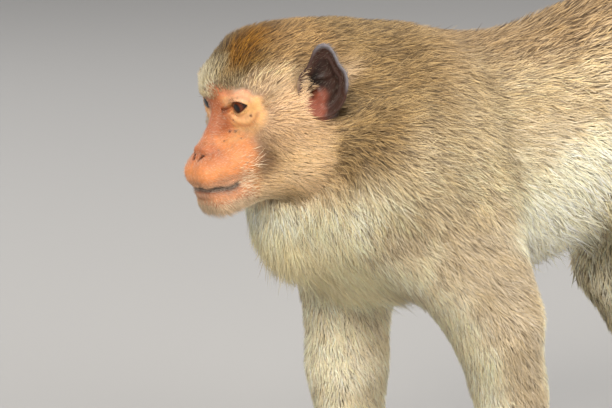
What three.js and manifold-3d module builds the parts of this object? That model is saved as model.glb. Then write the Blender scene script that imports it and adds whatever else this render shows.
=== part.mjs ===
// Long-tailed macaque (Macaca fascicularis), adult, standing on all fours with the head turned a
// little to its left. Solid model out to the tips of the coat, parted into named body parts.
// Millimetres. The animal faces -Y, its left side is +X, +Z is up, the floor is z = 0.
//
// The body is one implicit surface made of tapered limb segments, ellipsoids and a trunk loft, each
// with the radius of the skin and the depth of the coat over it. That surface is meshed once,
// simplified, and then parted by thin plane cuts.
import * as THREE from "three";
import { mergeVertices } from "three/addons/utils/BufferGeometryUtils.js";
import Module from "manifold-3d";

// ---------------------------------------------------------------- driving dimensions
const SHOULDER_HALF = 51, SHOULDER_Z_LEFT = 252, SHOULDER_Z_RIGHT = 272;
const HUMERUS = 126, FOREARM = 126;
const HIP_HALF = 42, HIP_BACK = 294, HIP_Z = 300;
const FEMUR = 145, TIBIA = 141;
const PALM_LEN = 43, FINGER_LEN = [35, 42, 40, 32], THUMB_LEN = 22;
const SOLE_LEN = 66, TOE_LEN = [33, 38, 36, 30], GREAT_TOE_LEN = 34;
const HEAD_ORIGIN = [4, -48.6, 307.6]; // midway between the ear canals
const HEAD_YAW = 7, HEAD_PITCH = 17; // degrees: to the left, and down from the Frankfurt plane
const EYE_R = 9.0, EYE = [37.6, 16.3, 4.7]; // forward, sideways, up from the head origin
const EAR_HIGH = 45, EAR_WIDE = 31;
const TAIL_LEN = 520, TAIL_R_ROOT = 13, TAIL_R_TIP = 4;
const GAP = 0.3; // between neighbouring parts
const GRID = 2.6; // meshing step
const BUDGET = 5200; // triangles of the whole body before it is parted

// Swing angles in degrees: back is towards the tail, out is away from the midline.
const LEFT_ARM = { upper: [36, 5], lower: [13, -2.5] };
const RIGHT_ARM = { upper: [19.5, 3], lower: [2, -1.5] };
const LEFT_LEG = { upper: [-35, 6], lower: [19, -1] };
const RIGHT_LEG = { upper: [-20, 5], lower: [32, -1] };

// ---------------------------------------------------------------- small vector helpers
const rad = (d) => (d * Math.PI) / 180;
const add = (a, b, k = 1) => [a[0] + b[0] * k, a[1] + b[1] * k, a[2] + b[2] * k];
const sub = (a, b) => [a[0] - b[0], a[1] - b[1], a[2] - b[2]];
const dot = (a, b) => a[0] * b[0] + a[1] * b[1] + a[2] * b[2];
const len = (a) => Math.hypot(a[0], a[1], a[2]);
const unit = (a) => add([0, 0, 0], a, 1 / len(a));
const cross = (a, b) => [a[1] * b[2] - a[2] * b[1], a[2] * b[0] - a[0] * b[2], a[0] * b[1] - a[1] * b[0]];
const lerp = (a, b, t) => a + (b - a) * t;
const lerp3 = (a, b, t) => [lerp(a[0], b[0], t), lerp(a[1], b[1], t), lerp(a[2], b[2], t)];
const clamp = (x, a, b) => Math.min(b, Math.max(a, x));
const smooth = (x) => { const t = clamp(x, 0, 1); return t * t * (3 - 2 * t); };
const swing = (from, length, [back, out], side) => [
  from[0] + side * length * Math.sin(rad(out)),
  from[1] + length * Math.sin(rad(back)) * Math.cos(rad(out)),
  from[2] - length * Math.cos(rad(back)) * Math.cos(rad(out)),
];

// ---------------------------------------------------------------- head frame
const yaw = rad(HEAD_YAW), pit = rad(HEAD_PITCH);
const HF = [Math.sin(yaw) * Math.cos(pit), -Math.cos(yaw) * Math.cos(pit), -Math.sin(pit)]; // forward
const HL = [Math.cos(yaw), Math.sin(yaw), 0]; // left
const HU = [Math.sin(yaw) * Math.sin(pit), -Math.cos(yaw) * Math.sin(pit), Math.cos(pit)]; // up
const H = (f, l, u) => add(add(add(HEAD_ORIGIN, HF, f), HL, l), HU, u);

// ---------------------------------------------------------------- skeleton
const SL = [SHOULDER_HALF, 2, SHOULDER_Z_LEFT], SR = [-SHOULDER_HALF, -10, SHOULDER_Z_RIGHT];
const EL = swing(SL, HUMERUS, LEFT_ARM.upper, 1), WL = swing(EL, FOREARM, LEFT_ARM.lower, 1);
const ER = swing(SR, HUMERUS, RIGHT_ARM.upper, -1), WR = swing(ER, FOREARM, RIGHT_ARM.lower, -1);
const PL = [HIP_HALF, HIP_BACK, HIP_Z], PR = [-HIP_HALF, HIP_BACK, HIP_Z];
const KL = swing(PL, FEMUR, LEFT_LEG.upper, 1), AL = swing(KL, TIBIA, LEFT_LEG.lower, 1);
const KR = swing(PR, FEMUR, RIGHT_LEG.upper, -1), AR = swing(KR, TIBIA, RIGHT_LEG.lower, -1);

// ---------------------------------------------------------------- implicit shapes
// Each shape is { d(p): distance to the skin, coat: depth of coat at p }, in groups that blend.
// A shape is skipped at points further than REACH from the sphere that holds it.
const REACH = 60;
const bounded = (d, c, r) => Object.assign(d, { c, r2: (r + REACH) ** 2 });
const cone = (a, b, ra, rb, ca, cb = ca) => {
  const ab = sub(b, a), l2 = dot(ab, ab);
  return bounded((p) => {
    const x = p[0] - a[0], y = p[1] - a[1], z = p[2] - a[2], t = clamp((x * ab[0] + y * ab[1] + z * ab[2]) / l2, 0, 1);
    return [Math.hypot(x - ab[0] * t, y - ab[1] * t, z - ab[2] * t) - lerp(ra, rb, t), lerp(ca, cb, t)];
  }, lerp3(a, b, 0.5), Math.sqrt(l2) / 2 + Math.max(ra, rb));
};
// Ellipsoid with its own axes e = [e1, e2, e3] (default the head's forward, left, up).
const egg = (c, r, coat, e = [HF, HL, HU]) => bounded((p) => {
  const q = sub(p, c), x = dot(q, e[0]), y = dot(q, e[1]), z = dot(q, e[2]);
  const k0 = Math.hypot(x / r[0], y / r[1], z / r[2]);
  const k1 = Math.hypot(x / r[0] ** 2, y / r[1] ** 2, z / r[2] ** 2);
  return [k1 < 1e-9 ? -Math.min(...r) : (k0 * (k0 - 1)) / k1, coat];
}, c, Math.max(...r));
const WORLD = [[1, 0, 0], [0, 1, 0], [0, 0, 1]];

// Trunk: stations along the back, each [y, top of skin, bottom of skin, half width].
const TRUNK = [
  [-30, 308, 198, 34], [0, 325.5, 180, 46], [40, 331, 181, 50], [80, 323.5, 185, 50], [120, 325.5, 192, 49],
  [160, 337, 205, 47], [200, 347, 221, 45], [240, 353, 236, 45], [285, 349, 248, 43], [318, 334, 262, 35],
];
const COAT_BACK = 13, COAT_BELLY = 20, TRUNK_CAP_FRONT = 24, TRUNK_CAP_REAR = 22;
const station = (y, k) => {
  const n = TRUNK.length;
  if (y <= TRUNK[0][0]) return TRUNK[0][k];
  if (y >= TRUNK[n - 1][0]) return TRUNK[n - 1][k];
  let i = 0;
  while (y > TRUNK[i + 1][0]) i++;
  const p1 = TRUNK[i][k], p2 = TRUNK[i + 1][k], h = TRUNK[i + 1][0] - TRUNK[i][0], t = (y - TRUNK[i][0]) / h;
  const m1 = i ? (p2 - TRUNK[i - 1][k]) / (TRUNK[i + 1][0] - TRUNK[i - 1][0]) : (p2 - p1) / h;
  const m2 = i + 2 < n ? (TRUNK[i + 2][k] - p1) / (TRUNK[i + 2][0] - TRUNK[i][0]) : (p2 - p1) / h;
  const t2 = t * t, t3 = t2 * t;
  return (2 * t3 - 3 * t2 + 1) * p1 + (t3 - 2 * t2 + t) * h * m1 + (3 * t2 - 2 * t3) * p2 + (t3 - t2) * h * m2;
};
const trunk = (p) => {
  const top = station(p[1], 1), bottom = station(p[1], 2), w = station(p[1], 3);
  const c = (top + bottom) / 2, h = (top - bottom) / 2, y0 = TRUNK[0][0], y1 = TRUNK[TRUNK.length - 1][0];
  const over = p[1] < y0 ? (p[1] - y0) / TRUNK_CAP_FRONT : p[1] > y1 ? (p[1] - y1) / TRUNK_CAP_REAR : 0;
  const cap = p[1] < y0 ? TRUNK_CAP_FRONT : TRUNK_CAP_REAR;
  const x = p[0] / w, z = (p[2] - c) / h;
  const k0 = Math.hypot(x, z, over), k1 = Math.hypot(x / w, z / h, over / cap);
  return [k1 < 1e-9 ? -w : (k0 * (k0 - 1)) / k1, lerp(COAT_BACK, COAT_BELLY, smooth(0.15 - 0.75 * z))];
};

// Tail: a smooth line from the rump, up and back, then down, with its tip turned up again.
const TAIL = (() => {
  const pts = [], n = 40;
  let p = [0, 325, 322];
  for (let i = 0; i <= n; i++) {
    pts.push(p);
    const s = i / n, el = rad(24 - 96 * smooth(s / 0.5) + 80 * smooth((s - 0.46) / 0.54)), az = rad(10 * Math.sin(s * 5));
    p = add(p, [Math.sin(az) * Math.cos(el), Math.cos(az) * Math.cos(el), Math.sin(el)], TAIL_LEN / n);
  }
  return pts;
})();
const tailR = (s) => lerp(TAIL_R_ROOT, TAIL_R_TIP, Math.pow(s, 0.55));
const tailCoat = (s) => lerp(9, 3.5, smooth(s * 1.3));

const arm = (side, S, E, W, muscle) => { // muscle: thickness of the upper forearm, turned out more on the right
  const o = side, M = add(lerp3(E, W, 0.34), [0, side * 2, 0]); // +1 left, -1 right
  return {
    k: 6, join: 22, parts: [
      cone(add(S, [-o * 5, 6, 2]), E, 27, 19.5, 12, 9),
      cone(add(S, [-o * 8, 44, 6]), add(E, [-o * 2, 6, 12]), 26, 17, 12, 9), // triceps
      cone(add(S, [-o * 13, -10, -18]), lerp3(S, E, 0.62), 24, 19, 16, 9), // pectoral and biceps
      cone(E, M, 21, muscle, 9, 8),
      cone(M, lerp3(E, W, 0.86), muscle, 13.6, 8, 7),
      cone(lerp3(E, W, 0.86), W, 13.6, 12, 7, 3),
      cone(add(E, [0, 14, 4]), add(E, [0, 9, -18]), 11, 11, 9), // point of the elbow
    ],
  };
};
const leg = (side, P, K, A) => {
  const o = side, mid = lerp3(K, A, 0.36);
  return {
    k: 7, join: 20, parts: [
      cone(add(P, [-o * 2, 2, -8]), lerp3(P, K, 0.55), 41, 34, 12),
      cone(lerp3(P, K, 0.5), K, 35, 23, 12, 10),
      cone(add(P, [-o * 4, 26, -24]), add(lerp3(K, A, 0.2), [0, 14, 0]), 33, 17, 11, 10), // hamstrings
      cone(K, mid, 22.5, 19.5, 10, 9),
      cone(mid, lerp3(K, A, 0.84), 19.5, 12.8, 9, 7),
      cone(lerp3(K, A, 0.84), A, 12.8, 11.5, 7, 4),
    ],
  };
};

// Hands and feet: a fan of bones over the palm or sole, then the digits, flat on the floor.
const ahead = (p, deg, dist, z) => [p[0] + Math.sin(rad(deg)) * dist, p[1] - Math.cos(rad(deg)) * dist, z];
const digit = (root, deg, length, r, zr) => {
  const a = ahead(root, deg, length * 0.48, 7.6), b = ahead(root, deg, length * 0.78, 5.6), c = ahead(root, deg, length, 4.2);
  return [cone(root, a, r + 0.9, r, 1), cone(a, b, r, r - 0.5, 1), cone(b, c, r - 0.5, r - 1.1, 0.8, 0.5)];
};
const hand = (side, W, turn) => {
  const palm = [], fingers = [];
  [15, 5, -5, -15].forEach((a, i) => { // from the index finger, next to the midline, outwards
    const deg = turn + side * -a * 0.95, start = [W[0] - side * (i < 2 ? 5 - 3.4 * i : -1.6 - 3.4 * (i - 2)) * -1 * -1, W[1] - 2, W[2] - 7];
    const knuckle = ahead([W[0], W[1], 0], deg, PALM_LEN - Math.abs(i - 1.3) * 1.6, 9.2);
    palm.push(cone(start, knuckle, 9.2, 7.4, 3, 1.4));
    fingers.push(...digit(knuckle, turn + side * -a * 0.62, FINGER_LEN[i], 5.4));
  });
  palm.push(cone([W[0], W[1] - 3, 9.5], ahead([W[0], W[1], 0], turn, 26, 8), 10.5, 9.5, 1.5)); // heel of the palm
  palm.push(cone(W, [W[0], W[1] - 6, 12], 10.8, 11, 3, 2));
  const t0 = ahead([W[0], W[1], 0], turn - side * 40, 16, 8);
  fingers.push(cone(t0, ahead(t0, turn - side * 46, THUMB_LEN * 0.5, 7), 7.4, 5.6, 1));
  fingers.push(cone(ahead(t0, turn - side * 46, THUMB_LEN * 0.5, 7), ahead(t0, turn - side * 36, THUMB_LEN, 4.6), 5.6, 4.2, 0.8));
  return [{ k: 5, join: 7, parts: palm }, { k: 2.2, join: 3, parts: fingers }];
};
const foot = (side, A, turn) => {
  const sole = [], toes = [], heel = ahead([A[0], A[1], 0], turn, -15, 13.5);
  [13, 4.5, -4.5, -13].forEach((a, i) => {
    const deg = turn + side * -a * 0.8;
    const ball = ahead([A[0], A[1], 0], deg, SOLE_LEN - Math.abs(i - 1.2) * 2, 9.6);
    sole.push(cone(ahead(A, deg, 10, A[2] - 12), ball, 11.5, 8, 4, 1.5));
    toes.push(...digit(ball, turn + side * -a * 0.5, TOE_LEN[i], 5.9));
  });
  sole.push(cone(heel, ahead([A[0], A[1], 0], turn, 34, 12), 12, 12, 2));
  sole.push(cone([A[0], A[1] + 5, A[2] - 2], heel, 10.5, 10.5, 4, 2));
  sole.push(cone(A, ahead(A, turn, 12, A[2] - 14), 11, 12, 5, 3));
  const g0 = ahead([A[0] - side * 4, A[1], 0], turn - side * 17, 36, 10);
  toes.push(cone(g0, ahead(g0, turn - side * 38, GREAT_TOE_LEN * 0.55, 8), 9, 6.6, 1));
  toes.push(cone(ahead(g0, turn - side * 38, GREAT_TOE_LEN * 0.55, 8), ahead(g0, turn - side * 30, GREAT_TOE_LEN, 5.6), 6.6, 5.2, 0.8));
  return [{ k: 5, join: 8, parts: sole }, { k: 2.2, join: 3, parts: toes }];
};

const both = (f) => [f(1), f(-1)];
const neck = {
  k: 20, join: 24, parts: [
    cone([0, 16, 270], H(-36, 0, -15.5), 44, 29.5, 14, 10),
    cone([1, -14, 240], H(2, 0, -34), 31, 20, 23, 16), // throat
    cone(H(-30, 0, -10), H(-10, 0, -5), 30, 31, 10, 8),
    cone(H(21, 18, -40), H(-16, 27, -46), 12.5, 18, 8, 14), // from the jaw's corner into the neck
    cone(H(21, -17, -42), H(-16, -22, -52), 12, 15, 8, 14),
  ],
};
const head = {
  k: 9, join: 16, parts: [
    egg(H(0, 0, 0.5), [42, 34.5, 29.5], 8), // braincase
    egg(H(24, 0, 8.5), [25, 28, 17.5], 8.5), // forehead
    egg(H(16, 0, 18), [20, 22, 18], 11), // crest
    ...both((s) => cone(H(44.3, 0, 14.5), H(33, s * 27.5, 12.5), 6.6, 5, 8.5, 6)), // brow ridge
    egg(H(22.5, 0, -4), [24.5, 32, 22], 2.2), // middle of the face
    ...both((s) => cone(H(33, s * 25, -9), H(8, s * 35, -7), 8.5, 8.5, 3, 7)), // cheekbone
    ...both((s) => egg(H(15, s * 25, -20), [22, 14, 23], 9)), // jaw muscle
    ...both((s) => egg(H(42, s * 17, -28), [17, 11, 13], 1.2)), // cheek
  ],
};
const muzzle = {
  k: 6, join: 8, parts: [
    cone(H(42, 0, 7), H(63.3, 0, -16.6), 4.6, 5.9, 0.6), // nose bridge
    egg(H(47.5, 0, -26), [27.5, 19.5, 14], 0.7),
    ...both((s) => cone(H(71.8, s * 6, -30.5), H(56, s * 14.5, -30), 8.4, 8.8, 0.7)), // upper lip
    ...both((s) => cone(H(65.5, s * 5.5, -49), H(14, s * 25, -38), 10, 13, 2.8, 8)), // lower jaw
    ...both((s) => cone(H(70, s * 4, -42.5), H(57, s * 13.5, -42.5), 6, 6, 0.8, 1.2)), // lower lip
  ],
};

const MOUTH_DEPTH = 1.8, MOUTH_U = -39.5; // the line of the closed lips
const GROUPS = [
  { k: 1, join: 1, parts: [trunk] },
  {
    k: 12, join: 20, parts: [ // shoulder blades, loins and haunches
      cone([30, 38, 296], [44, 2, 258], 26, 27, 13),
      cone([-30, 28, 302], [-44, -8, 272], 26, 27, 13),
      egg([20, 336, 278], [17, 18, 22], 8, WORLD), egg([-20, 336, 278], [17, 18, 22], 8, WORLD),
    ],
  },
  neck, arm(1, SL, EL, WL, 16.5), arm(-1, SR, ER, WR, 20), leg(1, PL, KL, AL), leg(-1, PR, KR, AR),
  {
    k: 4, join: 16, parts: TAIL.slice(0, -1).map((a, i) => {
      const s = i / (TAIL.length - 1), t = (i + 1) / (TAIL.length - 1);
      return cone(a, TAIL[i + 1], tailR(s), tailR(t), tailCoat(s), tailCoat(t));
    }),
  },
  head, muzzle,
  ...hand(1, WL, -4), ...hand(-1, WR, 4), ...foot(1, AL, 5), ...foot(-1, AR, -6),
];
const smin = (a, b, k) => { const h = Math.max(k - Math.abs(a - b), 0) / k; return Math.min(a, b) - h * h * k * 0.25; };
const EAR_ROOT = [H(-4, 42, 4), H(-4, -42, 4)];
const SOCKETS = [H(51, 17.5, 4.2), H(51, -17.5, 4.2)];
const COAT_MIX = 7;

// Signed distance to the outside of the coat.
function outside(p) {
  let f = 1e9, w = 0, wc = 0;
  for (const g of GROUPS) {
    let d = 1e9;
    for (const part of g.parts) {
      if (part.c && (p[0] - part.c[0]) ** 2 + (p[1] - part.c[1]) ** 2 + (p[2] - part.c[2]) ** 2 > part.r2) continue;
      const [e, c] = part(p);
      d = smin(d, e, g.k);
      const q = Math.exp(-Math.max(e, -20) / COAT_MIX);
      w += q; wc += q * c;
    }
    if (d < 1e8) f = smin(f, d, g.join);
  }
  let coat = w > 1e-30 ? wc / w : 10;
  for (const e of EAR_ROOT) coat *= 1 - 0.7 * Math.exp(-((len(sub(p, e)) / 19) ** 2));
  // sockets of the eyes and the line of the mouth
  for (const s of SOCKETS) {
    const r = len(sub(p, s));
    f = -smin(-f, r - 9.2, 4);
    coat *= 1 - Math.exp(-((r / 17) ** 2));
  }
  const q = sub(p, HEAD_ORIGIN), hf = dot(q, HF), hl = dot(q, HL), hu = dot(q, HU);
  if (hf > 54 && hf < 95 && Math.abs(hu - MOUTH_U) < 8) f += MOUTH_DEPTH * smooth((hf - 54) / 8) * Math.exp(-(((hu - MOUTH_U + (80 - hf) * 0.12) / 1.9) ** 2));
  return f - coat;
}

// ---------------------------------------------------------------- meshing
// Surface nets over the blocks of a grid that the surface passes through.
function surfaceNets(fn, lo, hi, h, blockSlack = 2.2) {
  const n = [0, 1, 2].map((i) => Math.ceil((hi[i] - lo[i]) / h) + 1), B = 8, val = new Map();
  const key = (i, j, k) => (i * n[1] + j) * n[2] + k;
  for (let bi = 0; bi < n[0]; bi += B) for (let bj = 0; bj < n[1]; bj += B) for (let bk = 0; bk < n[2]; bk += B) {
    const c = [lo[0] + (bi + B / 2) * h, lo[1] + (bj + B / 2) * h, lo[2] + (bk + B / 2) * h];
    if (Math.abs(fn(c)) > (B / 2) * h * Math.sqrt(3) * blockSlack) continue;
    for (let i = bi; i <= bi + B; i++) for (let j = bj; j <= bj + B; j++) for (let k = bk; k <= bk + B; k++) {
      const q = key(i, j, k);
      if (!val.has(q)) val.set(q, fn([lo[0] + i * h, lo[1] + j * h, lo[2] + k * h]));
    }
  }
  const cellVert = new Map(), pos = [], tri = [];
  const corner = (q, i, j, k) => val.get(q + key(i, j, k));
  const vert = (q) => {
    if (cellVert.has(q)) return cellVert.get(q);
    const k0 = q % n[2], j0 = Math.floor(q / n[2]) % n[1], i0 = Math.floor(q / n[2] / n[1]);
    const v = [];
    for (let c = 0; c < 8; c++) v.push(corner(q, c & 1, (c >> 1) & 1, c >> 2));
    let s = [0, 0, 0], m = 0;
    for (let a = 0; a < 8; a++) for (const bit of [1, 2, 4]) {
      if (a & bit) continue;
      const b = a | bit;
      if (v[a] < 0 === v[b] < 0) continue;
      const t = v[a] / (v[a] - v[b]);
      const pa = [a & 1, (a >> 1) & 1, a >> 2], pb = [b & 1, (b >> 1) & 1, b >> 2];
      s = add(s, lerp3(pa, pb, t)); m++;
    }
    const p = [lo[0] + (i0 + s[0] / m) * h, lo[1] + (j0 + s[1] / m) * h, lo[2] + (k0 + s[2] / m) * h];
    cellVert.set(q, pos.length / 3);
    pos.push(...p);
    return pos.length / 3 - 1;
  };
  const step = [key(1, 0, 0), key(0, 1, 0), key(0, 0, 1)];
  for (const [q, v] of val) for (let a = 0; a < 3; a++) {
    const w = val.get(q + step[a]);
    if (w === undefined || v < 0 === w < 0) continue;
    const b = step[(a + 1) % 3], c = step[(a + 2) % 3];
    if (![q, q - b, q - c, q - b - c].every((r) => val.has(r) && val.has(r + step[0] + step[1] + step[2]))) throw new Error("block missing");
    const [v0, v1, v2, v3] = [vert(q), vert(q - b), vert(q - b - c), vert(q - c)];
    if (v < 0) tri.push(v0, v1, v2, v0, v2, v3); else tri.push(v0, v2, v1, v0, v3, v2);
  }
  return shell(pos, tri);
}

// The largest connected surface, without pockets inside it.
function shell(pos, tri) {
  const root = Int32Array.from({ length: pos.length / 3 }, (_, i) => i), find = (i) => { while (root[i] !== i) i = root[i] = root[root[i]]; return i; };
  for (let f = 0; f < tri.length; f += 3) { root[find(tri[f])] = find(tri[f + 1]); root[find(tri[f + 1])] = find(tri[f + 2]); }
  const count = new Map();
  for (let f = 0; f < tri.length; f += 3) count.set(find(tri[f]), (count.get(find(tri[f])) || 0) + 1);
  const best = [...count].sort((a, b) => b[1] - a[1])[0][0], map = new Map(), P = [], T = [];
  for (let f = 0; f < tri.length; f += 3) {
    if (find(tri[f]) !== best) continue;
    for (let k = 0; k < 3; k++) {
      const v = tri[f + k];
      if (!map.has(v)) { map.set(v, P.length / 3); P.push(pos[3 * v], pos[3 * v + 1], pos[3 * v + 2]); }
      T.push(map.get(v));
    }
  }
  return { pos: P, tri: T };
}

// Pull the points onto the surface.
function project(mesh, fn, rounds = 2) {
  const e = 0.4, p = mesh.pos;
  for (let i = 0; i < p.length; i += 3) for (let r = 0; r < rounds; r++) {
    const q = [p[i], p[i + 1], p[i + 2]], f = fn(q);
    const g = [0, 1, 2].map((a) => { const u = [...q], v = [...q]; u[a] += e; v[a] -= e; return (fn(u) - fn(v)) / (2 * e); });
    const m = dot(g, g);
    if (m < 0.05) break;
    const move = clamp(f / m, -1, 1);
    for (let a = 0; a < 3; a++) p[i + a] -= g[a] * move;
  }
}

// Edge collapse by quadric error, with more detail kept where weight is larger.
function simplify(mesh, target, weight, most = Infinity, place = true) {
  const P = Float64Array.from(mesh.pos), T = Int32Array.from(mesh.tri), n = P.length / 3, m = T.length / 3;
  const Q = new Float64Array(10 * n), dead = new Uint8Array(m), gone = new Uint8Array(n), stamp = new Int32Array(n);
  const at = (i) => [P[3 * i], P[3 * i + 1], P[3 * i + 2]];
  const faces = Array.from({ length: n }, () => []);
  for (let f = 0; f < m; f++) {
    const a = at(T[3 * f]), b = at(T[3 * f + 1]), c = at(T[3 * f + 2]);
    const x = cross(sub(b, a), sub(c, a)), area = len(x) / 2;
    for (let k = 0; k < 3; k++) faces[T[3 * f + k]].push(f);
    if (area < 1e-9) continue;
    const [nx, ny, nz] = unit(x), d = -dot([nx, ny, nz], a), w = area * weight(add(add(a, b), c).map((v) => v / 3));
    const q = [nx * nx, nx * ny, nx * nz, nx * d, ny * ny, ny * nz, ny * d, nz * nz, nz * d, d * d];
    for (let k = 0; k < 3; k++) for (let j = 0; j < 10; j++) Q[10 * T[3 * f + k] + j] += (q[j] * w) / 3;
  }
  const err = (q, p) => q[0] * p[0] * p[0] + 2 * q[1] * p[0] * p[1] + 2 * q[2] * p[0] * p[2] + 2 * q[3] * p[0] + q[4] * p[1] * p[1]
    + 2 * q[5] * p[1] * p[2] + 2 * q[6] * p[1] + q[7] * p[2] * p[2] + 2 * q[8] * p[2] + q[9];
  const best = (a, b) => {
    const q = new Array(10), pa = at(a), pb = at(b);
    for (let j = 0; j < 10; j++) q[j] = Q[10 * a + j] + Q[10 * b + j];
    const c0 = q[4] * q[7] - q[5] * q[5], c1 = q[2] * q[5] - q[1] * q[7], c2 = q[1] * q[5] - q[2] * q[4];
    const det = q[0] * c0 + q[1] * c1 + q[2] * c2, tr = q[0] + q[4] + q[7];
    const options = [pa, pb, lerp3(pa, pb, 0.5)];
    if (!place) options.pop();
    else if (Math.abs(det) > 1e-4 * tr * tr * tr) {
      const r = [-q[3], -q[6], -q[8]];
      const s = [
        (r[0] * c0 + r[1] * c1 + r[2] * c2) / det,
        (r[0] * c1 + r[1] * (q[0] * q[7] - q[2] * q[2]) + r[2] * (q[1] * q[2] - q[0] * q[5])) / det,
        (r[0] * c2 + r[1] * (q[1] * q[2] - q[0] * q[5]) + r[2] * (q[0] * q[4] - q[1] * q[1])) / det,
      ];
      if (len(sub(s, lerp3(pa, pb, 0.5))) < 2 * len(sub(pa, pb))) options.unshift(s);
    }
    let bp = options[0], be = Infinity;
    for (const o of options) { const e = err(q, o); if (e < be - 1e-9) { be = e; bp = o; } }
    return [Math.max(be, 0) + 1e-4 * dot(sub(pa, pb), sub(pa, pb)), bp];
  };
  const heap = []; // [cost, a, b, stamp a, stamp b, point]
  const push = (a, b) => {
    const [c, p] = best(a, b);
    heap.push([c, a, b, stamp[a], stamp[b], p]);
    let i = heap.length - 1;
    while (i > 0) { const j = (i - 1) >> 1; if (heap[j][0] <= heap[i][0]) break; [heap[i], heap[j]] = [heap[j], heap[i]]; i = j; }
  };
  const pop = () => {
    const top = heap[0], last = heap.pop();
    if (heap.length) {
      heap[0] = last;
      let i = 0;
      for (;;) {
        let j = 2 * i + 1;
        if (j >= heap.length) break;
        if (j + 1 < heap.length && heap[j + 1][0] < heap[j][0]) j++;
        if (heap[i][0] <= heap[j][0]) break;
        [heap[i], heap[j]] = [heap[j], heap[i]]; i = j;
      }
    }
    return top;
  };
  const ring = (v) => { const s = new Set(); for (const f of faces[v]) if (!dead[f]) for (let k = 0; k < 3; k++) if (T[3 * f + k] !== v) s.add(T[3 * f + k]); return s; };
  for (let v = 0; v < n; v++) for (const u of ring(v)) if (u > v) push(v, u);
  let live = m;
  while (live > target && heap.length) {
    const [cost, a, b, sa, sb, p] = pop();
    if (cost > most) break;
    if (gone[a] || gone[b] || stamp[a] !== sa || stamp[b] !== sb) continue;
    const ra = ring(a), rb = ring(b);
    let common = 0;
    for (const v of ra) if (rb.has(v)) common++;
    if (common !== 2 || ra.size + rb.size > 22) continue;
    let bad = false;
    for (const v of [a, b]) for (const f of faces[v]) {
      if (dead[f] || bad) continue;
      const t = [T[3 * f], T[3 * f + 1], T[3 * f + 2]];
      if (t.includes(a) && t.includes(b)) continue;
      const o = t.map(at), w = t.map((x) => (x === v ? p : at(x)));
      const n0 = cross(sub(o[1], o[0]), sub(o[2], o[0])), n1 = cross(sub(w[1], w[0]), sub(w[2], w[0]));
      const e = Math.max(len(sub(w[1], w[0])), len(sub(w[2], w[1])), len(sub(w[0], w[2])));
      if (dot(n0, n1) < 0.35 * len(n0) * len(n1) || len(n1) < 0.06 * e * e) bad = true;
    }
    if (bad) continue;
    P.set(p, 3 * a); gone[b] = 1; stamp[a]++;
    for (let j = 0; j < 10; j++) Q[10 * a + j] += Q[10 * b + j];
    for (const f of faces[b]) {
      if (dead[f]) continue;
      const t = [T[3 * f], T[3 * f + 1], T[3 * f + 2]];
      if (t.includes(a)) { dead[f] = 1; live--; continue; }
      for (let k = 0; k < 3; k++) if (T[3 * f + k] === b) T[3 * f + k] = a;
      faces[a].push(f);
    }
    faces[a] = faces[a].filter((f) => !dead[f]);
    for (const u of ring(a)) push(Math.min(a, u), Math.max(a, u));
  }
  const map = new Int32Array(n).fill(-1), pos = [], tri = [];
  for (let f = 0; f < m; f++) if (!dead[f]) for (let k = 0; k < 3; k++) {
    const v = T[3 * f + k];
    if (map[v] < 0) { map[v] = pos.length / 3; pos.push(...at(v)); }
    tri.push(map[v]);
  }
  return { pos, tri };
}

// ---------------------------------------------------------------- ears and eyes
// The ear is a thin cupped shell with a rolled rim and a blunt tip, flared from the side of the head.
const EAR_OUT = rad(43), EAR_LEAN = rad(4), EAR_MID_S = 15, EAR_MID_T = 6;
const earFrame = (side) => {
  const origin = H(9.5, side * 34.5, side > 0 ? 4.5 : 0); // the right one a little lower
  const level = [Math.sin(yaw), -Math.cos(yaw), 0]; // forward, without the pitch
  const s0 = add(add([0, 0, 0], level, -Math.cos(EAR_OUT)), HL, side * Math.sin(EAR_OUT)); // from its front edge, back and out
  const s = add(add([0, 0, 0], s0, Math.cos(EAR_LEAN)), [0, 0, 1], -Math.sin(EAR_LEAN));
  const t = add(add([0, 0, 0], [0, 0, 1], Math.cos(EAR_LEAN)), s0, Math.sin(EAR_LEAN)); // up
  const n = add(add([0, 0, 0], level, Math.sin(EAR_OUT)), HL, side * Math.cos(EAR_OUT)); // out of the cup
  return { origin, s, t, n };
};
const earEdge = (phi) => {
  const a = EAR_WIDE / 2, b = EAR_HIGH * 0.47, e = (a * b) / Math.hypot(b * Math.cos(phi), a * Math.sin(phi));
  return e + 3.6 * Math.exp(-(((phi - rad(95)) / rad(20)) ** 2)) - 1.2 * Math.exp(-(((phi - rad(150)) / rad(24)) ** 2))
    - 2.8 * Math.exp(-(((phi - rad(57)) / rad(22)) ** 2)) - 2.8 * Math.exp(-(((phi - rad(130)) / rad(22)) ** 2)); // a leaf, narrow at the top
};
const ear = (side) => {
  const E = earFrame(side);
  return (p) => {
    const q = sub(p, E.origin), s = dot(q, E.s) - EAR_MID_S, t = dot(q, E.t) - EAR_MID_T, n = dot(q, E.n);
    const rho = Math.hypot(s, t), phi = Math.atan2(t, s), edge = (rho - earEdge(phi)) * 0.92;
    const cup = 4.5 - 7.5 * Math.max(0, 1 - (rho / earEdge(phi)) ** 2) + 0.012 * s * s;
    const shell = Math.max(Math.abs(n - cup) * 0.9 - 1.5, edge);
    const rim = Math.hypot(edge + 1.2, n - cup) - 2.1;
    return smin(shell, rim, 1.5);
  };
};

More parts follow.
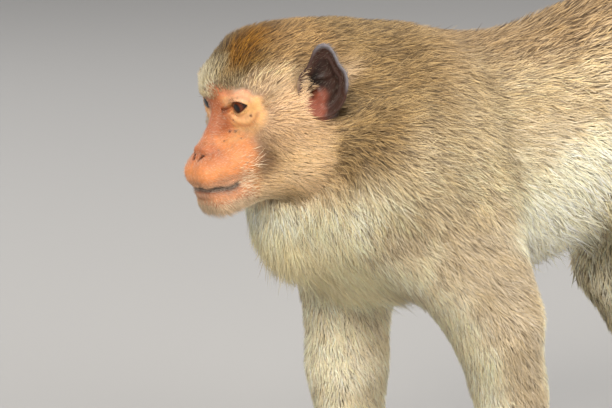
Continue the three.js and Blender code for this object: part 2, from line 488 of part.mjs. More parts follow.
// ---------------------------------------------------------------- parting the body
const wasm = await Module();
wasm.setup();
const solidOf = ({ pos, tri }) => new wasm.Manifold(new wasm.Mesh({
  numProp: 3, vertProperties: Float32Array.from(pos), triVerts: Uint32Array.from(tri),
}));
const meshOf = (solid) => { const g = solid.getMesh(); return { pos: Array.from(g.vertProperties), tri: Array.from(g.triVerts) }; };
const boxSolid = (matrix, size) => {
  const g = new THREE.BoxGeometry(...size), v = new THREE.Vector3(), pos = [];
  // the eight corners, shared
  for (let c = 0; c < 8; c++) {
    v.set((c & 1 ? 0.5 : -0.5) * size[0], (c & 2 ? 0.5 : -0.5) * size[1], (c & 4 ? 0.5 : -0.5) * size[2]).applyMatrix4(matrix);
    pos.push(v.x, v.y, v.z);
  }
  const tri = [], P = g.getAttribute("position"), I = g.getIndex();
  for (let i = 0; i < I.count; i++) {
    const a = I.getX(i);
    tri.push((P.getX(a) > 0 ? 1 : 0) + (P.getY(a) > 0 ? 2 : 0) + (P.getZ(a) > 0 ? 4 : 0));
  }
  return solidOf({ pos, tri });
};
// A block on the far side of a plane from its normal, grown by g.
const behind = (point, normal, g = 0, size = 1600) => {
  const z = new THREE.Vector3(...unit(normal)), m = new THREE.Matrix4();
  const x = new THREE.Vector3(0.31, 0.22, 0.93).cross(z).normalize(), y = z.clone().cross(x);
  m.makeBasis(x, y, z).setPosition(new THREE.Vector3(...point).addScaledVector(z, g - size / 2));
  return boxSolid(m, [size, size, size]);
};
const region = (planes, g) => planes.map(([p, n]) => behind(p, n, g)).reduce((a, b) => a.intersect(b));
// The largest single body of a solid, with its points welded.
const largest = (solid) => {
  const g = new THREE.BufferGeometry(), m = solid.getMesh();
  g.setAttribute("position", new THREE.BufferAttribute(Float32Array.from(m.vertProperties), 3));
  g.setIndex(Array.from(m.triVerts));
  const w = mergeVertices(g, 1.2e-3), T = w.index.array, tri = [];
  for (let f = 0; f < T.length; f += 3) if (T[f] !== T[f + 1] && T[f + 1] !== T[f + 2] && T[f] !== T[f + 2]) tri.push(T[f], T[f + 1], T[f + 2]);
  let s = solid;
  try { s = solidOf({ pos: w.attributes.position.array, tri }); } catch { s = solid; }
  return s.decompose().sort((a, b) => b.volume() - a.volume())[0];
};

// Where two folds of a piece touch along an edge, a sliver is taken out so that each edge has two faces.
const sliver = (a, b, r) => {
  const u = unit(sub(b, a)), x = unit(cross(u, Math.abs(u[2]) < 0.8 ? [0, 0, 1] : [1, 0, 0])), y = cross(u, x), c = lerp3(a, b, 0.5);
  const ring = [[x, 1], [y, 1], [x, -1], [y, -1]].map(([v, k]) => add(c, v, k * r)), tri = [];
  for (let k = 0; k < 4; k++) tri.push(k + 2, ((k + 1) % 4) + 2, 1, ((k + 1) % 4) + 2, k + 2, 0);
  return solidOf({ pos: [...add(a, u, -r), ...add(b, u, r), ...ring.flat()], tri });
};
const mend = (solid) => {
  for (let round = 0; round < 8; round++) {
    const m = meshOf(solid), id = new Map(), at = [], edges = new Map(), cuts = [];
    const of = (i) => {
      const p = m.pos.slice(3 * i, 3 * i + 3), k = p.map((v) => Math.round(v * 2000)).join();
      if (!id.has(k)) { id.set(k, at.length); at.push(p); }
      return id.get(k);
    };
    for (let f = 0; f < m.tri.length; f += 3) {
      const t = [0, 1, 2].map((k) => of(m.tri[f + k]));
      if (new Set(t).size < 3) continue;
      for (let k = 0; k < 3; k++) { const e = [t[k], t[(k + 1) % 3]].sort((a, b) => a - b).join(); edges.set(e, (edges.get(e) || 0) + 1); }
    }
    for (const [e, n] of edges) if (n !== 2) { const [a, b] = e.split(",").map(Number); cuts.push(sliver(at[a], at[b], 0.35 + 0.12 * round)); }
    if (!cuts.length) return solid;
    solid = largest(cuts.reduce((a, b) => a.subtract(b), solid));
  }
  return solid;
};

const LO = [-125, -190, -8], HI = [125, 860, 395];
let body = surfaceNets(outside, LO, HI, GRID);
project(body, outside);
const near = (p, c, r) => Math.exp(-((len(sub(p, c)) / r) ** 2));
body = simplify(body, BUDGET, (p) => {
  const q = sub(p, HEAD_ORIGIN), face = dot(q, HF) > 26 && dot(q, HU) > -75 ? 1 : 0;
  return 1 + 9 * near(p, H(20, 0, -10), 75) + 26 * face + 16 * smooth((34 - p[2]) / 14) + 3 * (p[1] > 335 && p[2] > 40 ? 1 : 0);
});
let rest = solidOf(body).subtract(boxSolid(new THREE.Matrix4().makeTranslation(0, 300, -50), [2000, 2000, 100]));

const along = (a, b) => unit(sub(b, a));
const tailPlane = (s) => { const i = Math.round(s * (TAIL.length - 1)); return [TAIL[i], along(TAIL[Math.min(i + 1, TAIL.length - 1)], TAIL[i - 1])]; };
const side = (s, x0 = 0) => [[x0 * s, 0, 0], [-s, 0, 0]]; // keeps one side of the midline
const limb = (a, b, t, s) => [lerp3(a, b, t), along(b, a)]; // beyond a point of a bone
const mid = (A, B, C) => [B, unit(add(along(B, A), along(C, B)))]; // the plane that halves a bend
const pieces = [];
// Thin triangles that a cut leaves are collapsed onto the points they join.
const TIDY = 5;
const tidy = (solid) => {
  const m = meshOf(solid), t = simplify(m, 12, () => 1, TIDY, false);
  try { return mend(largest(solidOf(t))); } catch { return mend(solid); }
};
const carve = (name, planes) => {
  pieces.push([name, tidy(largest(rest.intersect(region(planes, 0))))]);
  rest = rest.subtract(region(planes, GAP));
};
const TAIL_CUTS = [0.05, 0.23, 0.42, 0.61, 0.8];
for (let i = TAIL_CUTS.length - 1; i >= 0; i--) {
  const far = TAIL_CUTS[i] > 0.5 ? [[[0, 520, 0], [0, -1, 0]]] : [[[0, 325, 0], [0, -1, 0]], [[0, 0, 150], [0, 0, -1]]];
  carve(`tail_${i + 1}`, [tailPlane(TAIL_CUTS[i]), ...far]);
}
for (const [tag, s, S, E, W, P, K, A] of [["left", 1, SL, EL, WL, PL, KL, AL], ["right", -1, SR, ER, WR, PR, KR, AR]]) {
  const front = [[0, W[1] + 26, 0], [0, 1, 0]], back = [[0, A[1] - 130, 0], [0, -1, 0]];
  carve(`${tag}_hand`, [limb(E, W, 0.96), side(s), front]);
  carve(`${tag}_foot`, [[lerp3(K, A, 0.95), unit([0, -0.25, 1])], side(s), back, [[0, A[1] + 60, 0], [0, 1, 0]]]);
  carve(`${tag}_forearm`, [mid(S, E, W), side(s, 6), [[0, E[1] + 52, 0], [0, 1, 0]], [[0, -60, 0], [0, -1, 0]]]);
  carve(`${tag}_shank`, [mid(P, K, A), side(s, 4), [[0, K[1] - 60, 0], [0, -1, 0]]]);
  carve(`${tag}_upper_arm`, [
    [[s * 47, S[1] - 40, 212], unit([-s, 0.16, -0.1])], [[0, E[1] + 40, E[2]], unit([0, 1, 0.3])],
    [[0, S[1] - 46, 242], unit([0, -1, 0.1])], [[0, 0, 320], unit([s * 0.2, 0, 1])], [[0, 0, 110], [0, 0, -1]],
  ]);
  carve(`${tag}_thigh`, [
    [[s * 38, 250, 266], unit([-s, 0, 0.42])], [[0, K[1] - 36, K[2] + 20], unit([0, -1, 0.62])],
    [[0, 360, 300], [0, 1, 0]], side(s, 3), [[0, 0, 110], [0, 0, -1]],
  ]);
}
const headCut = [H(-30, 0, -14), unit(sub([0, 20, 246], H(0, 0, 0)))];
carve("head", [headCut, side(1, -400)]);
carve("neck", [[[0, -18, 276], unit([0, 1, -0.42])]]);
carve("chest", [[[0, 118, 260], [0, 1, 0]]]);
carve("abdomen", [[[0, 222, 265], unit([0, 1, 0.25])]]);
pieces.push(["pelvis", tidy(largest(rest))]);

// Eyes sit in round sockets, ears stand on the side of the head, each with the same thin gap.
const ball = (c, r, name) => {
  const g = new THREE.SphereGeometry(r, 12, 9), pos = [], tri = [], P = g.getAttribute("position"), I = g.getIndex(), seen = new Map();
  const idx = (i) => {
    const k = [P.getX(i), P.getY(i), P.getZ(i)].map((v) => Math.round(v * 1e4)).join();
    if (!seen.has(k)) { seen.set(k, pos.length / 3); pos.push(...add(c, add(add(add([0, 0, 0], HF, P.getY(i)), HL, P.getX(i)), HU, -P.getZ(i)))); }
    return seen.get(k);
  };
  for (let i = 0; i < I.count; i += 3) {
    const t = [idx(I.getX(i)), idx(I.getX(i + 1)), idx(I.getX(i + 2))];
    if (new Set(t).size === 3) tri.push(...t);
  }
  return solidOf({ pos, tri });
};
const grown = (mesh, g) => { // every point moved out by g
  const nrm = new Float64Array(mesh.pos.length), at = (i) => mesh.pos.slice(3 * i, 3 * i + 3), pos = [];
  for (let f = 0; f < mesh.tri.length; f += 3) {
    const [a, b, c] = [0, 1, 2].map((k) => at(mesh.tri[f + k])), x = cross(sub(b, a), sub(c, a));
    for (let k = 0; k < 3; k++) for (let j = 0; j < 3; j++) nrm[3 * mesh.tri[f + k] + j] += x[j];
  }
  for (let i = 0; i < mesh.pos.length / 3; i++) pos.push(...add(at(i), unit([nrm[3 * i], nrm[3 * i + 1], nrm[3 * i + 2]]), g));
  return { pos, tri: mesh.tri };
};
const headPiece = pieces.find(([n]) => n === "head");
for (const [tag, s] of [["left", 1], ["right", -1]]) {
  const c = H(EYE[0], s * EYE[1], EYE[2]);
  headPiece[1] = largest(headPiece[1].subtract(ball(c, EYE_R + GAP + 0.15)));
  pieces.push([`${tag}_eye`, ball(c, EYE_R)]);
}
const cover = pieces.filter(([n]) => /head|neck|chest|upper_arm/.test(n)).map(([, m]) => solidOf(grown(meshOf(m), GAP + 1.3))).reduce((a, b) => a.add(b));
for (const [tag, s] of [["left", 1], ["right", -1]]) {
  const E = earFrame(s), c = add(add(E.origin, E.s, EAR_MID_S), E.t, EAR_MID_T), fn = ear(s);
  let m = surfaceNets(fn, sub(c, [36, 36, 36]), add(c, [36, 36, 36]), 1.15, 3);
  project(m, fn, 1);
  m = simplify(m, 420, () => 1);
  const whole = largest(solidOf(m).subtract(cover)), t = simplify(meshOf(whole), 12, () => 1, 0.04, false);
  pieces.push([`${tag}_ear`, mend(largest(solidOf(t)))]);
}

// ---------------------------------------------------------------- the model
const FUR = { head: 0xb99a6a, neck: 0xbba070, chest: 0xc0a878, abdomen: 0xd0c09a, pelvis: 0xb39868 };
const colour = (name) => {
  if (name in FUR) return FUR[name];
  if (name.endsWith("eye")) return 0x5a2c16;
  if (name.endsWith("ear")) return 0x5c4338;
  if (/hand|foot/.test(name)) return 0x6a574c;
  if (name.startsWith("tail")) return 0x8d7a5c;
  return 0xb8a583;
};
const group = new THREE.Group();
const lows = [Infinity, Infinity], highs = [-Infinity, -Infinity];
for (const [, solid] of pieces) {
  const { pos } = meshOf(solid);
  for (let i = 0; i < pos.length; i += 3) for (let a = 0; a < 2; a++) { lows[a] = Math.min(lows[a], pos[i + a]); highs[a] = Math.max(highs[a], pos[i + a]); }
}
const centre = [(lows[0] + highs[0]) / 2, (lows[1] + highs[1]) / 2];
for (const [name, solid] of pieces) {
  const { pos, tri } = meshOf(solid), g = new THREE.BufferGeometry();
  for (let i = 0; i < pos.length; i += 3) { pos[i] -= centre[0]; pos[i + 1] -= centre[1]; }
  g.setAttribute("position", new THREE.Float32BufferAttribute(pos, 3));
  g.setIndex(tri);
  g.computeVertexNormals();
  const mesh = new THREE.Mesh(g, new THREE.MeshStandardMaterial({ color: colour(name), roughness: name.endsWith("eye") ? 0.1 : 0.85, metalness: 0 }));
  mesh.name = name;
  group.add(mesh);
}
export default group;
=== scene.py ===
# Long-tailed macaque standing on all fours: skin, eyes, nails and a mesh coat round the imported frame.
# Lengths in the body description are millimetres in the body's own frame (facing -Y, left is +X);
# place() turns them into metres in the row frame.
import math
import time

import bpy
import numpy as np
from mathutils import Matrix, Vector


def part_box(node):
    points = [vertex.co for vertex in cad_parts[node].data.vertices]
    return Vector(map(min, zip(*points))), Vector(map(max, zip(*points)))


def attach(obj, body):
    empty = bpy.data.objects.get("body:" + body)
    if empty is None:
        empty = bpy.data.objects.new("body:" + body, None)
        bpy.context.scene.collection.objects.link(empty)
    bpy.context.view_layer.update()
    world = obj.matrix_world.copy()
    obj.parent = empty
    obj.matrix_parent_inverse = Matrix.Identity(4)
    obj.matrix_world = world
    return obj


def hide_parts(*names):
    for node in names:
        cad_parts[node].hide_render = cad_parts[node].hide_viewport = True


T0 = time.time()
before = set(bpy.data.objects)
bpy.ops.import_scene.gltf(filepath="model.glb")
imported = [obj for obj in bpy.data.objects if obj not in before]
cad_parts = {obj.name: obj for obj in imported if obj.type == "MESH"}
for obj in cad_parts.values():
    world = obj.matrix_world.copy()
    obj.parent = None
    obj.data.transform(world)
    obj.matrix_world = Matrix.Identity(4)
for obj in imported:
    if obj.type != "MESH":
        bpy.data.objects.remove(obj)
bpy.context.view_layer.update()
RNG = np.random.default_rng(20240611)


def said(what):
    print(f"[{time.time() - T0:6.1f}s] {what}")


# ------------------------------------------------------------------ sizes, the same as the solids'
SHOULDER_HALF, SHOULDER_Z_LEFT, SHOULDER_Z_RIGHT = 51, 252, 272
HUMERUS, FOREARM, HIP_HALF, HIP_BACK, HIP_Z, FEMUR, TIBIA = 126, 126, 42, 294, 300, 145, 141
PALM_LEN, FINGER_LEN, THUMB_LEN = 43, [35, 42, 40, 32], 22
SOLE_LEN, TOE_LEN, GREAT_TOE_LEN = 66, [33, 38, 36, 30], 34
HEAD_ORIGIN, HEAD_YAW, HEAD_PITCH = np.array([4, -48.6, 307.6]), 7, 17
EYE_R, EYE = 9.0, (37.6, 16.3, 4.7)
EAR_HIGH, EAR_WIDE = 45, 31
TAIL_LEN, TAIL_R_ROOT, TAIL_R_TIP = 520, 13, 4
LEFT_ARM, RIGHT_ARM = ((36, 5), (13, -2.5)), ((19.5, 3), (2, -1.5))
LEFT_LEG, RIGHT_LEG = ((-35, 6), (19, -1)), ((-20, 5), (32, -1))

rad = math.radians
V = lambda *a: np.array(a, float)
unit = lambda a: np.asarray(a, float) / np.linalg.norm(a)
mix = lambda a, b, t: np.asarray(a, float) * (1 - t) + np.asarray(b, float) * t


def smooth(x):
    t = np.clip(x, 0, 1)
    return t * t * (3 - 2 * t)


def swing(start, length, angles, side):
    back, out = map(rad, angles)
    return start + V(side * length * math.sin(out), length * math.sin(back) * math.cos(out), -length * math.cos(back) * math.cos(out))


YAW, PIT = rad(HEAD_YAW), rad(HEAD_PITCH)
HF = V(math.sin(YAW) * math.cos(PIT), -math.cos(YAW) * math.cos(PIT), -math.sin(PIT))
HL = V(math.cos(YAW), math.sin(YAW), 0)
HU = V(math.sin(YAW) * math.sin(PIT), -math.cos(YAW) * math.sin(PIT), math.cos(PIT))
H = lambda f, l, u: HEAD_ORIGIN + HF * f + HL * l + HU * u
HDIR = lambda f, l, u: HF * f + HL * l + HU * u

SL, SR = V(SHOULDER_HALF, 2, SHOULDER_Z_LEFT), V(-SHOULDER_HALF, -10, SHOULDER_Z_RIGHT)
EL = swing(SL, HUMERUS, LEFT_ARM[0], 1)
WL = swing(EL, FOREARM, LEFT_ARM[1], 1)
ER = swing(SR, HUMERUS, RIGHT_ARM[0], -1)
WR = swing(ER, FOREARM, RIGHT_ARM[1], -1)
PL, PR = V(HIP_HALF, HIP_BACK, HIP_Z), V(-HIP_HALF, HIP_BACK, HIP_Z)
KL = swing(PL, FEMUR, LEFT_LEG[0], 1)
AL = swing(KL, TIBIA, LEFT_LEG[1], 1)
KR = swing(PR, FEMUR, RIGHT_LEG[0], -1)
AR = swing(KR, TIBIA, RIGHT_LEG[1], -1)

# The body's frame against the row's, from where the CAD has the left eye.
_lo, _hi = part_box("left_eye")
SHIFT = (np.array(_lo) + np.array(_hi)) * 500 - H(*EYE)
SHIFT[2] = 0.0
place = lambda p: (np.asarray(p) + SHIFT) / 1000.0

# ------------------------------------------------------------------ implicit shapes
# A part gives (distance to skin, coat depth, lie of the coat) at points P.
REACH = 60.0


class Cone:
    def __init__(s, a, b, ra, rb, ca, cb=None, lie=None):
        s.a, s.b = np.asarray(a, float), np.asarray(b, float)
        s.ra, s.rb, s.ca, s.cb = ra, rb, ca, ca if cb is None else cb
        s.ab = s.b - s.a
        s.l2 = s.ab @ s.ab
        s.c, s.r = (s.a + s.b) / 2, math.sqrt(s.l2) / 2 + max(ra, rb)
        s.lie = unit(s.ab) if lie is None else unit(lie)

    def d(s, P):
        q = P - s.a
        t = np.clip(q @ s.ab / s.l2, 0, 1)
        return np.sqrt(((q - t[:, None] * s.ab) ** 2).sum(1)) - (s.ra + (s.rb - s.ra) * t), s.ca + (s.cb - s.ca) * t

    def flow(s, P):
        return s.lie


class Egg:
    def __init__(s, c, r, coat, e=None, lie=(0, 1, 0)):
        s.c, s.rr, s.coat = np.asarray(c, float), np.asarray(r, float), coat
        s.e = np.array([HF, HL, HU] if e is None else e)
        s.r, s.lie = max(r), lie if callable(lie) else unit(lie)

    def d(s, P):
        q = (P - s.c) @ s.e.T
        k0 = np.sqrt(((q / s.rr) ** 2).sum(1))
        k1 = np.sqrt(((q / s.rr**2) ** 2).sum(1))
        return np.where(k1 < 1e-9, -s.rr.min(), k0 * (k0 - 1) / np.maximum(k1, 1e-9)), s.coat

    def flow(s, P):
        return s.lie(P) if callable(s.lie) else s.lie


TRUNK = np.array([
    [-30, 308, 198, 34], [0, 325.5, 180, 46], [40, 331, 181, 50], [80, 323.5, 185, 50], [120, 325.5, 192, 49],
    [160, 337, 205, 47], [200, 347, 221, 45], [240, 353, 236, 45], [285, 349, 248, 43], [318, 334, 262, 35]], float)
COAT_BACK, COAT_BELLY, CAP_FRONT, CAP_REAR = 13, 20, 24, 22


def stations(y):
    X, n = TRUNK[:, 0], len(TRUNK)
    M = np.zeros((n, 3))
    for i in range(1, n - 1):
        M[i] = (TRUNK[i + 1, 1:] - TRUNK[i - 1, 1:]) / (X[i + 1] - X[i - 1])
    M[0] = (TRUNK[1, 1:] - TRUNK[0, 1:]) / (X[1] - X[0])
    M[-1] = (TRUNK[-1, 1:] - TRUNK[-2, 1:]) / (X[-1] - X[-2])
    yc = np.clip(y, X[0], X[-1])
    i = np.clip(np.searchsorted(X, yc, side="left") - 1, 0, n - 2)
    h = X[i + 1] - X[i]
    t = ((yc - X[i]) / h)[:, None]
    h = h[:, None]
    t2, t3 = t * t, t * t * t
    return (2 * t3 - 3 * t2 + 1) * TRUNK[i, 1:] + (t3 - 2 * t2 + t) * h * M[i] + (3 * t2 - 2 * t3) * TRUNK[i + 1, 1:] + (t3 - t2) * h * M[i + 1]


class Trunk:
    c, r = V(0, 144, 265), 215.0

    def d(s, P):
        st = stations(P[:, 1])
        top, bottom, w = st.T
        c, h, y = (top + bottom) / 2, (top - bottom) / 2, P[:, 1]
        front, rear = y < TRUNK[0, 0], y > TRUNK[-1, 0]
        over = np.where(front, (y - TRUNK[0, 0]) / CAP_FRONT, np.where(rear, (y - TRUNK[-1, 0]) / CAP_REAR, 0))
        cap = np.where(front, CAP_FRONT, CAP_REAR)
        x, z = P[:, 0] / w, (P[:, 2] - c) / h
        k0 = np.sqrt(x * x + z * z + over * over)
        k1 = np.sqrt((x / w) ** 2 + (z / h) ** 2 + (over / cap) ** 2)
        return (np.where(k1 < 1e-9, -w, k0 * (k0 - 1) / np.maximum(k1, 1e-9)),
                COAT_BACK + (COAT_BELLY - COAT_BACK) * smooth(0.15 - 0.75 * z))

    def flow(s, P):  # back and down the sides, hanging under the belly
        st = stations(P[:, 1])
        z = (P[:, 2] - (st[:, 0] + st[:, 1]) / 2) / ((st[:, 0] - st[:, 1]) / 2)
        low = smooth((0.75 - z) / 1.5)[:, None]
        out = V(0, 1, -0.02) * (1 - low) + V(0, 0.62, -0.85) * low
        out[:, 0] += 0.10 * np.sign(P[:, 0]) * (1 - low[:, 0])
        return out


def tail_line():
    pts, p, n = [], V(0, 325, 322), 40
    for i in range(n + 1):
        pts.append(p)
        s = i / n
        el = rad(24 - 96 * smooth(s / 0.5) + 80 * smooth((s - 0.46) / 0.54))
        az = rad(10 * math.sin(s * 5))
        p = p + V(math.sin(az) * math.cos(el), math.cos(az) * math.cos(el), math.sin(el)) * TAIL_LEN / n
    return np.array(pts)


TAIL = tail_line()
tail_r = lambda s: TAIL_R_ROOT + (TAIL_R_TIP - TAIL_R_ROOT) * s**0.55
tail_coat = lambda s: 9 + (3.5 - 9) * float(smooth(s * 1.3))


class Group:
    def __init__(s, name, k, join, parts):
        s.name, s.k, s.join, s.parts = name, k, join, parts


def arm(name, side, S, E, W, muscle):
    o, M = side, mix(E, W, 0.34) + V(0, side * 2, 0)
    back = V(0, 0.35, 0)
    up, low = unit(E - S), unit(W - E)
    return Group(name, 6, 22, [
        Cone(S + V(-o * 5, 6, 2), E, 27, 19.5, 12, 9, lie=up + V(0, 0.1, 0)),
        Cone(S + V(-o * 8, 44, 6), E + V(-o * 2, 6, 12), 26, 17, 12, 9, lie=up + V(0, 0.35, 0)),
        Cone(S + V(-o * 13, -10, -18), mix(S, E, 0.62), 24, 19, 16, 9, lie=up + V(0, -0.15, -0.1)),
        Cone(E, M, 21, muscle, 9, 8, lie=low + back),
        Cone(M, mix(E, W, 0.86), muscle, 13.6, 8, 7, lie=low + back),
        Cone(mix(E, W, 0.86), W, 13.6, 12, 7, 3),
        Cone(E + V(0, 14, 4), E + V(0, 9, -18), 11, 11, 9, lie=low + V(0, 0.6, 0)),
    ])


def leg(name, side, P, K, A):
    o, m = side, mix(K, A, 0.36)
    return Group(name, 7, 20, [
        Cone(P + V(-o * 2, 2, -8), mix(P, K, 0.55), 41, 34, 12, lie=unit(K - P) + V(0, 0.75, 0)),
        Cone(mix(P, K, 0.5), K, 35, 23, 12, 10, lie=unit(K - P) + V(0, 0.6, 0)),
        Cone(P + V(-o * 4, 26, -24), mix(K, A, 0.2) + V(0, 14, 0), 33, 17, 11, 10, lie=V(0, 0.25, -1)),
        Cone(K, m, 22.5, 19.5, 10, 9),
        Cone(m, mix(K, A, 0.84), 19.5, 12.8, 9, 7),
        Cone(mix(K, A, 0.84), A, 12.8, 11.5, 7, 4),
    ])


def ahead(p, deg, dist, z):
    return V(p[0] + math.sin(rad(deg)) * dist, p[1] - math.cos(rad(deg)) * dist, z)


DIGITS = []  # (last joint, tip, radius) of each finger and toe, for the nails


def digit(root, deg, length, r):
    a, b, c = ahead(root, deg, length * 0.48, 7.6), ahead(root, deg, length * 0.78, 5.6), ahead(root, deg, length, 4.2)
    DIGITS.append((b, c, r - 1.1, deg))
    return [Cone(root, a, r + 0.9, r, 1), Cone(a, b, r, r - 0.5, 1), Cone(b, c, r - 0.5, r - 1.1, 0.8, 0.5)]


def hand(tag, side, W, turn):
    palm, fingers = [], []
    for i, a in enumerate([15, 5, -5, -15]):
        deg = turn - side * a * 0.95
        start = V(W[0] - side * (5 - 3.4 * i if i < 2 else -1.6 - 3.4 * (i - 2)), W[1] - 2, W[2] - 7)
        knuckle = ahead(V(W[0], W[1], 0), deg, PALM_LEN - abs(i - 1.3) * 1.6, 9.2)
        palm.append(Cone(start, knuckle, 9.2, 7.4, 3, 1.4))
        fingers += digit(knuckle, turn - side * a * 0.62, FINGER_LEN[i], 5.4)
    w0 = V(W[0], W[1], 0)
    palm.append(Cone(V(W[0], W[1] - 3, 9.5), ahead(w0, turn, 26, 8), 10.5, 9.5, 1.5))
    palm.append(Cone(W, V(W[0], W[1] - 6, 12), 10.8, 11, 3, 2))
    t0 = ahead(w0, turn - side * 40, 16, 8)
    t1, t2 = ahead(t0, turn - side * 46, THUMB_LEN * 0.5, 7), ahead(t0, turn - side * 36, THUMB_LEN, 4.6)
    fingers += [Cone(t0, t1, 7.4, 5.6, 1), Cone(t1, t2, 5.6, 4.2, 0.8)]
    DIGITS.append((t1, t2, 4.2, turn - side * 30))
    return [Group(tag + "_hand", 5, 7, palm), Group(tag + "_fingers", 2.2, 3, fingers)]


def foot(tag, side, A, turn):
    sole, toes, a0 = [], [], V(A[0], A[1], 0)
    heel = ahead(a0, turn, -15, 13.5)
    for i, a in enumerate([13, 4.5, -4.5, -13]):
        ball = ahead(a0, turn - side * a * 0.8, SOLE_LEN - abs(i - 1.2) * 2, 9.6)
        sole.append(Cone(ahead(A, turn - side * a * 0.8, 10, A[2] - 12), ball, 11.5, 8, 4, 1.5))
        toes += digit(ball, turn - side * a * 0.5, TOE_LEN[i], 5.9)
    sole.append(Cone(heel, ahead(a0, turn, 34, 12), 12, 12, 2))
    sole.append(Cone(V(A[0], A[1] + 5, A[2] - 2), heel, 10.5, 10.5, 4, 2))
    sole.append(Cone(A, ahead(A, turn, 12, A[2] - 14), 11, 12, 5, 3))
    g0 = ahead(V(A[0] - side * 4, A[1], 0), turn - side * 17, 36, 10)
    g1, g2 = ahead(g0, turn - side * 38, GREAT_TOE_LEN * 0.55, 8), ahead(g0, turn - side * 30, GREAT_TOE_LEN, 5.6)
    toes += [Cone(g0, g1, 9, 6.6, 1), Cone(g1, g2, 6.6, 5.2, 0.8)]
    DIGITS.append((g1, g2, 5.2, turn - side * 26))
    return [Group(tag + "_foot", 5, 8, sole), Group(tag + "_toes", 2.2, 3, toes)]


def crown_lie(P):  # from the brow back over the crown, parting down the sides of the face
    q = (P - HEAD_ORIGIN) @ np.array([HF, HL, HU]).T
    f, l, u = q.T
    down = smooth((8 - u) / 34)
    v = np.stack([-1.0 + 0.15 * down, 0.34 * np.sign(l) * smooth(np.abs(l) / 18) * (1 - down), 0.10 - 0.95 * down], 1)
    v[:, 2] += 0.55 * smooth((f - 30) / 14) * smooth((u - 2) / 8)
    return v @ np.array([HF, HL, HU])


NECK_LIE = V(0, 1, -0.25)
THROAT_LIE = V(0, 0.05, -1)
neck = Group("neck", 20, 24, [
    Cone(V(0, 16, 270), H(-36, 0, -15.5), 44, 29.5, 14, 10, lie=NECK_LIE),
    Cone(V(1, -14, 240), H(2, 0, -34), 31, 20, 23, 16, lie=THROAT_LIE),
    Cone(H(-30, 0, -10), H(-10, 0, -5), 30, 31, 10, 8, lie=NECK_LIE),
    Cone(H(21, 18, -40), H(-16, 27, -46), 12.5, 18, 8, 14, lie=HDIR(-0.85, 0.2, -0.5)),
    Cone(H(21, -17, -42), H(-16, -22, -52), 12, 15, 8, 14, lie=HDIR(-0.85, -0.2, -0.5)),
])
head = Group("head", 9, 16, [
    Egg(H(0, 0, 0.5), [42, 34.5, 29.5], 8, lie=crown_lie),
    Egg(H(24, 0, 8.5), [25, 28, 17.5], 8.5, lie=crown_lie),
    Egg(H(16, 0, 18), [20, 22, 18], 11, lie=crown_lie),
    *[Cone(H(44.3, 0, 14.5), H(33, s * 27.5, 12.5), 6.6, 5, 8.5, 6, lie=HDIR(-0.2, 0.3 * s, 1)) for s in (1, -1)],
    Egg(H(22.5, 0, -4), [24.5, 32, 22], 2.2, lie=crown_lie),
    *[Cone(H(33, s * 25, -9), H(8, s * 35, -7), 8.5, 8.5, 3, 7, lie=HDIR(-1, 0, -0.35)) for s in (1, -1)],
    *[Egg(H(15, s * 25, -20), [22, 14, 23], 9, lie=HDIR(-0.9, 0.1 * s, -0.55)) for s in (1, -1)],
    *[Egg(H(42, s * 17, -28), [17, 11, 13], 1.2, lie=HDIR(-1, 0, -0.4)) for s in (1, -1)],
])
muzzle = Group("muzzle", 6, 8, [
    Cone(H(42, 0, 7), H(63.3, 0, -16.6), 4.6, 5.9, 0.6, lie=HDIR(-1, 0, 0)),
    Egg(H(47.5, 0, -26), [27.5, 19.5, 14], 0.7, lie=HDIR(-1, 0, -0.3)),
    *[Cone(H(71.8, s * 6, -30.5), H(56, s * 14.5, -30), 8.4, 8.8, 0.7) for s in (1, -1)],
    *[Cone(H(65.5, s * 5.5, -49), H(14, s * 25, -38), 10, 13, 2.8, 8) for s in (1, -1)],
    *[Cone(H(70, s * 4, -42.5), H(57, s * 13.5, -42.5), 6, 6, 0.8, 1.2) for s in (1, -1)],
])
WORLD = np.eye(3)
GROUPS = [
    Group("trunk", 1, 1, [Trunk()]),
    Group("girdle", 12, 20, [
        Cone(V(30, 38, 296), V(44, 2, 258), 26, 27, 13, lie=V(0.05, 0.75, -0.55)),
        Cone(V(-30, 28, 302), V(-44, -8, 272), 26, 27, 13, lie=V(-0.05, 0.75, -0.55)),
        Egg(V(20, 336, 278), [17, 18, 22], 8, WORLD, lie=V(0.2, 0.3, -1)),
        Egg(V(-20, 336, 278), [17, 18, 22], 8, WORLD, lie=V(-0.2, 0.3, -1)),
    ]),
    neck, arm("left_arm", 1, SL, EL, WL, 16.5), arm("right_arm", -1, SR, ER, WR, 20), leg("left_leg", 1, PL, KL, AL), leg("right_leg", -1, PR, KR, AR),
    Group("tail", 4, 16, [Cone(TAIL[i], TAIL[i + 1], tail_r(i / 40), tail_r((i + 1) / 40), tail_coat(i / 40), tail_coat((i + 1) / 40)) for i in range(40)]),
    head, muzzle,
    *hand("left", 1, WL, -4), *hand("right", -1, WR, 4), *foot("left", 1, AL, 5), *foot("right", -1, AR, -6),
]
GROUP_NAMES = [g.name for g in GROUPS]
EAR_ROOT = [H(-4, 42, 4), H(-4, -42, 4)]
SOCKETS = [H(51, 17.5, 4.2), H(51, -17.5, 4.2)]
COAT_MIX = 7.0
EYES = [H(EYE[0], s * EYE[1], EYE[2]) for s in (1, -1)]


def smin(a, b, k):
    h = np.maximum(k - np.abs(a - b), 0) / k
    return np.minimum(a, b) - h * h * k * 0.25


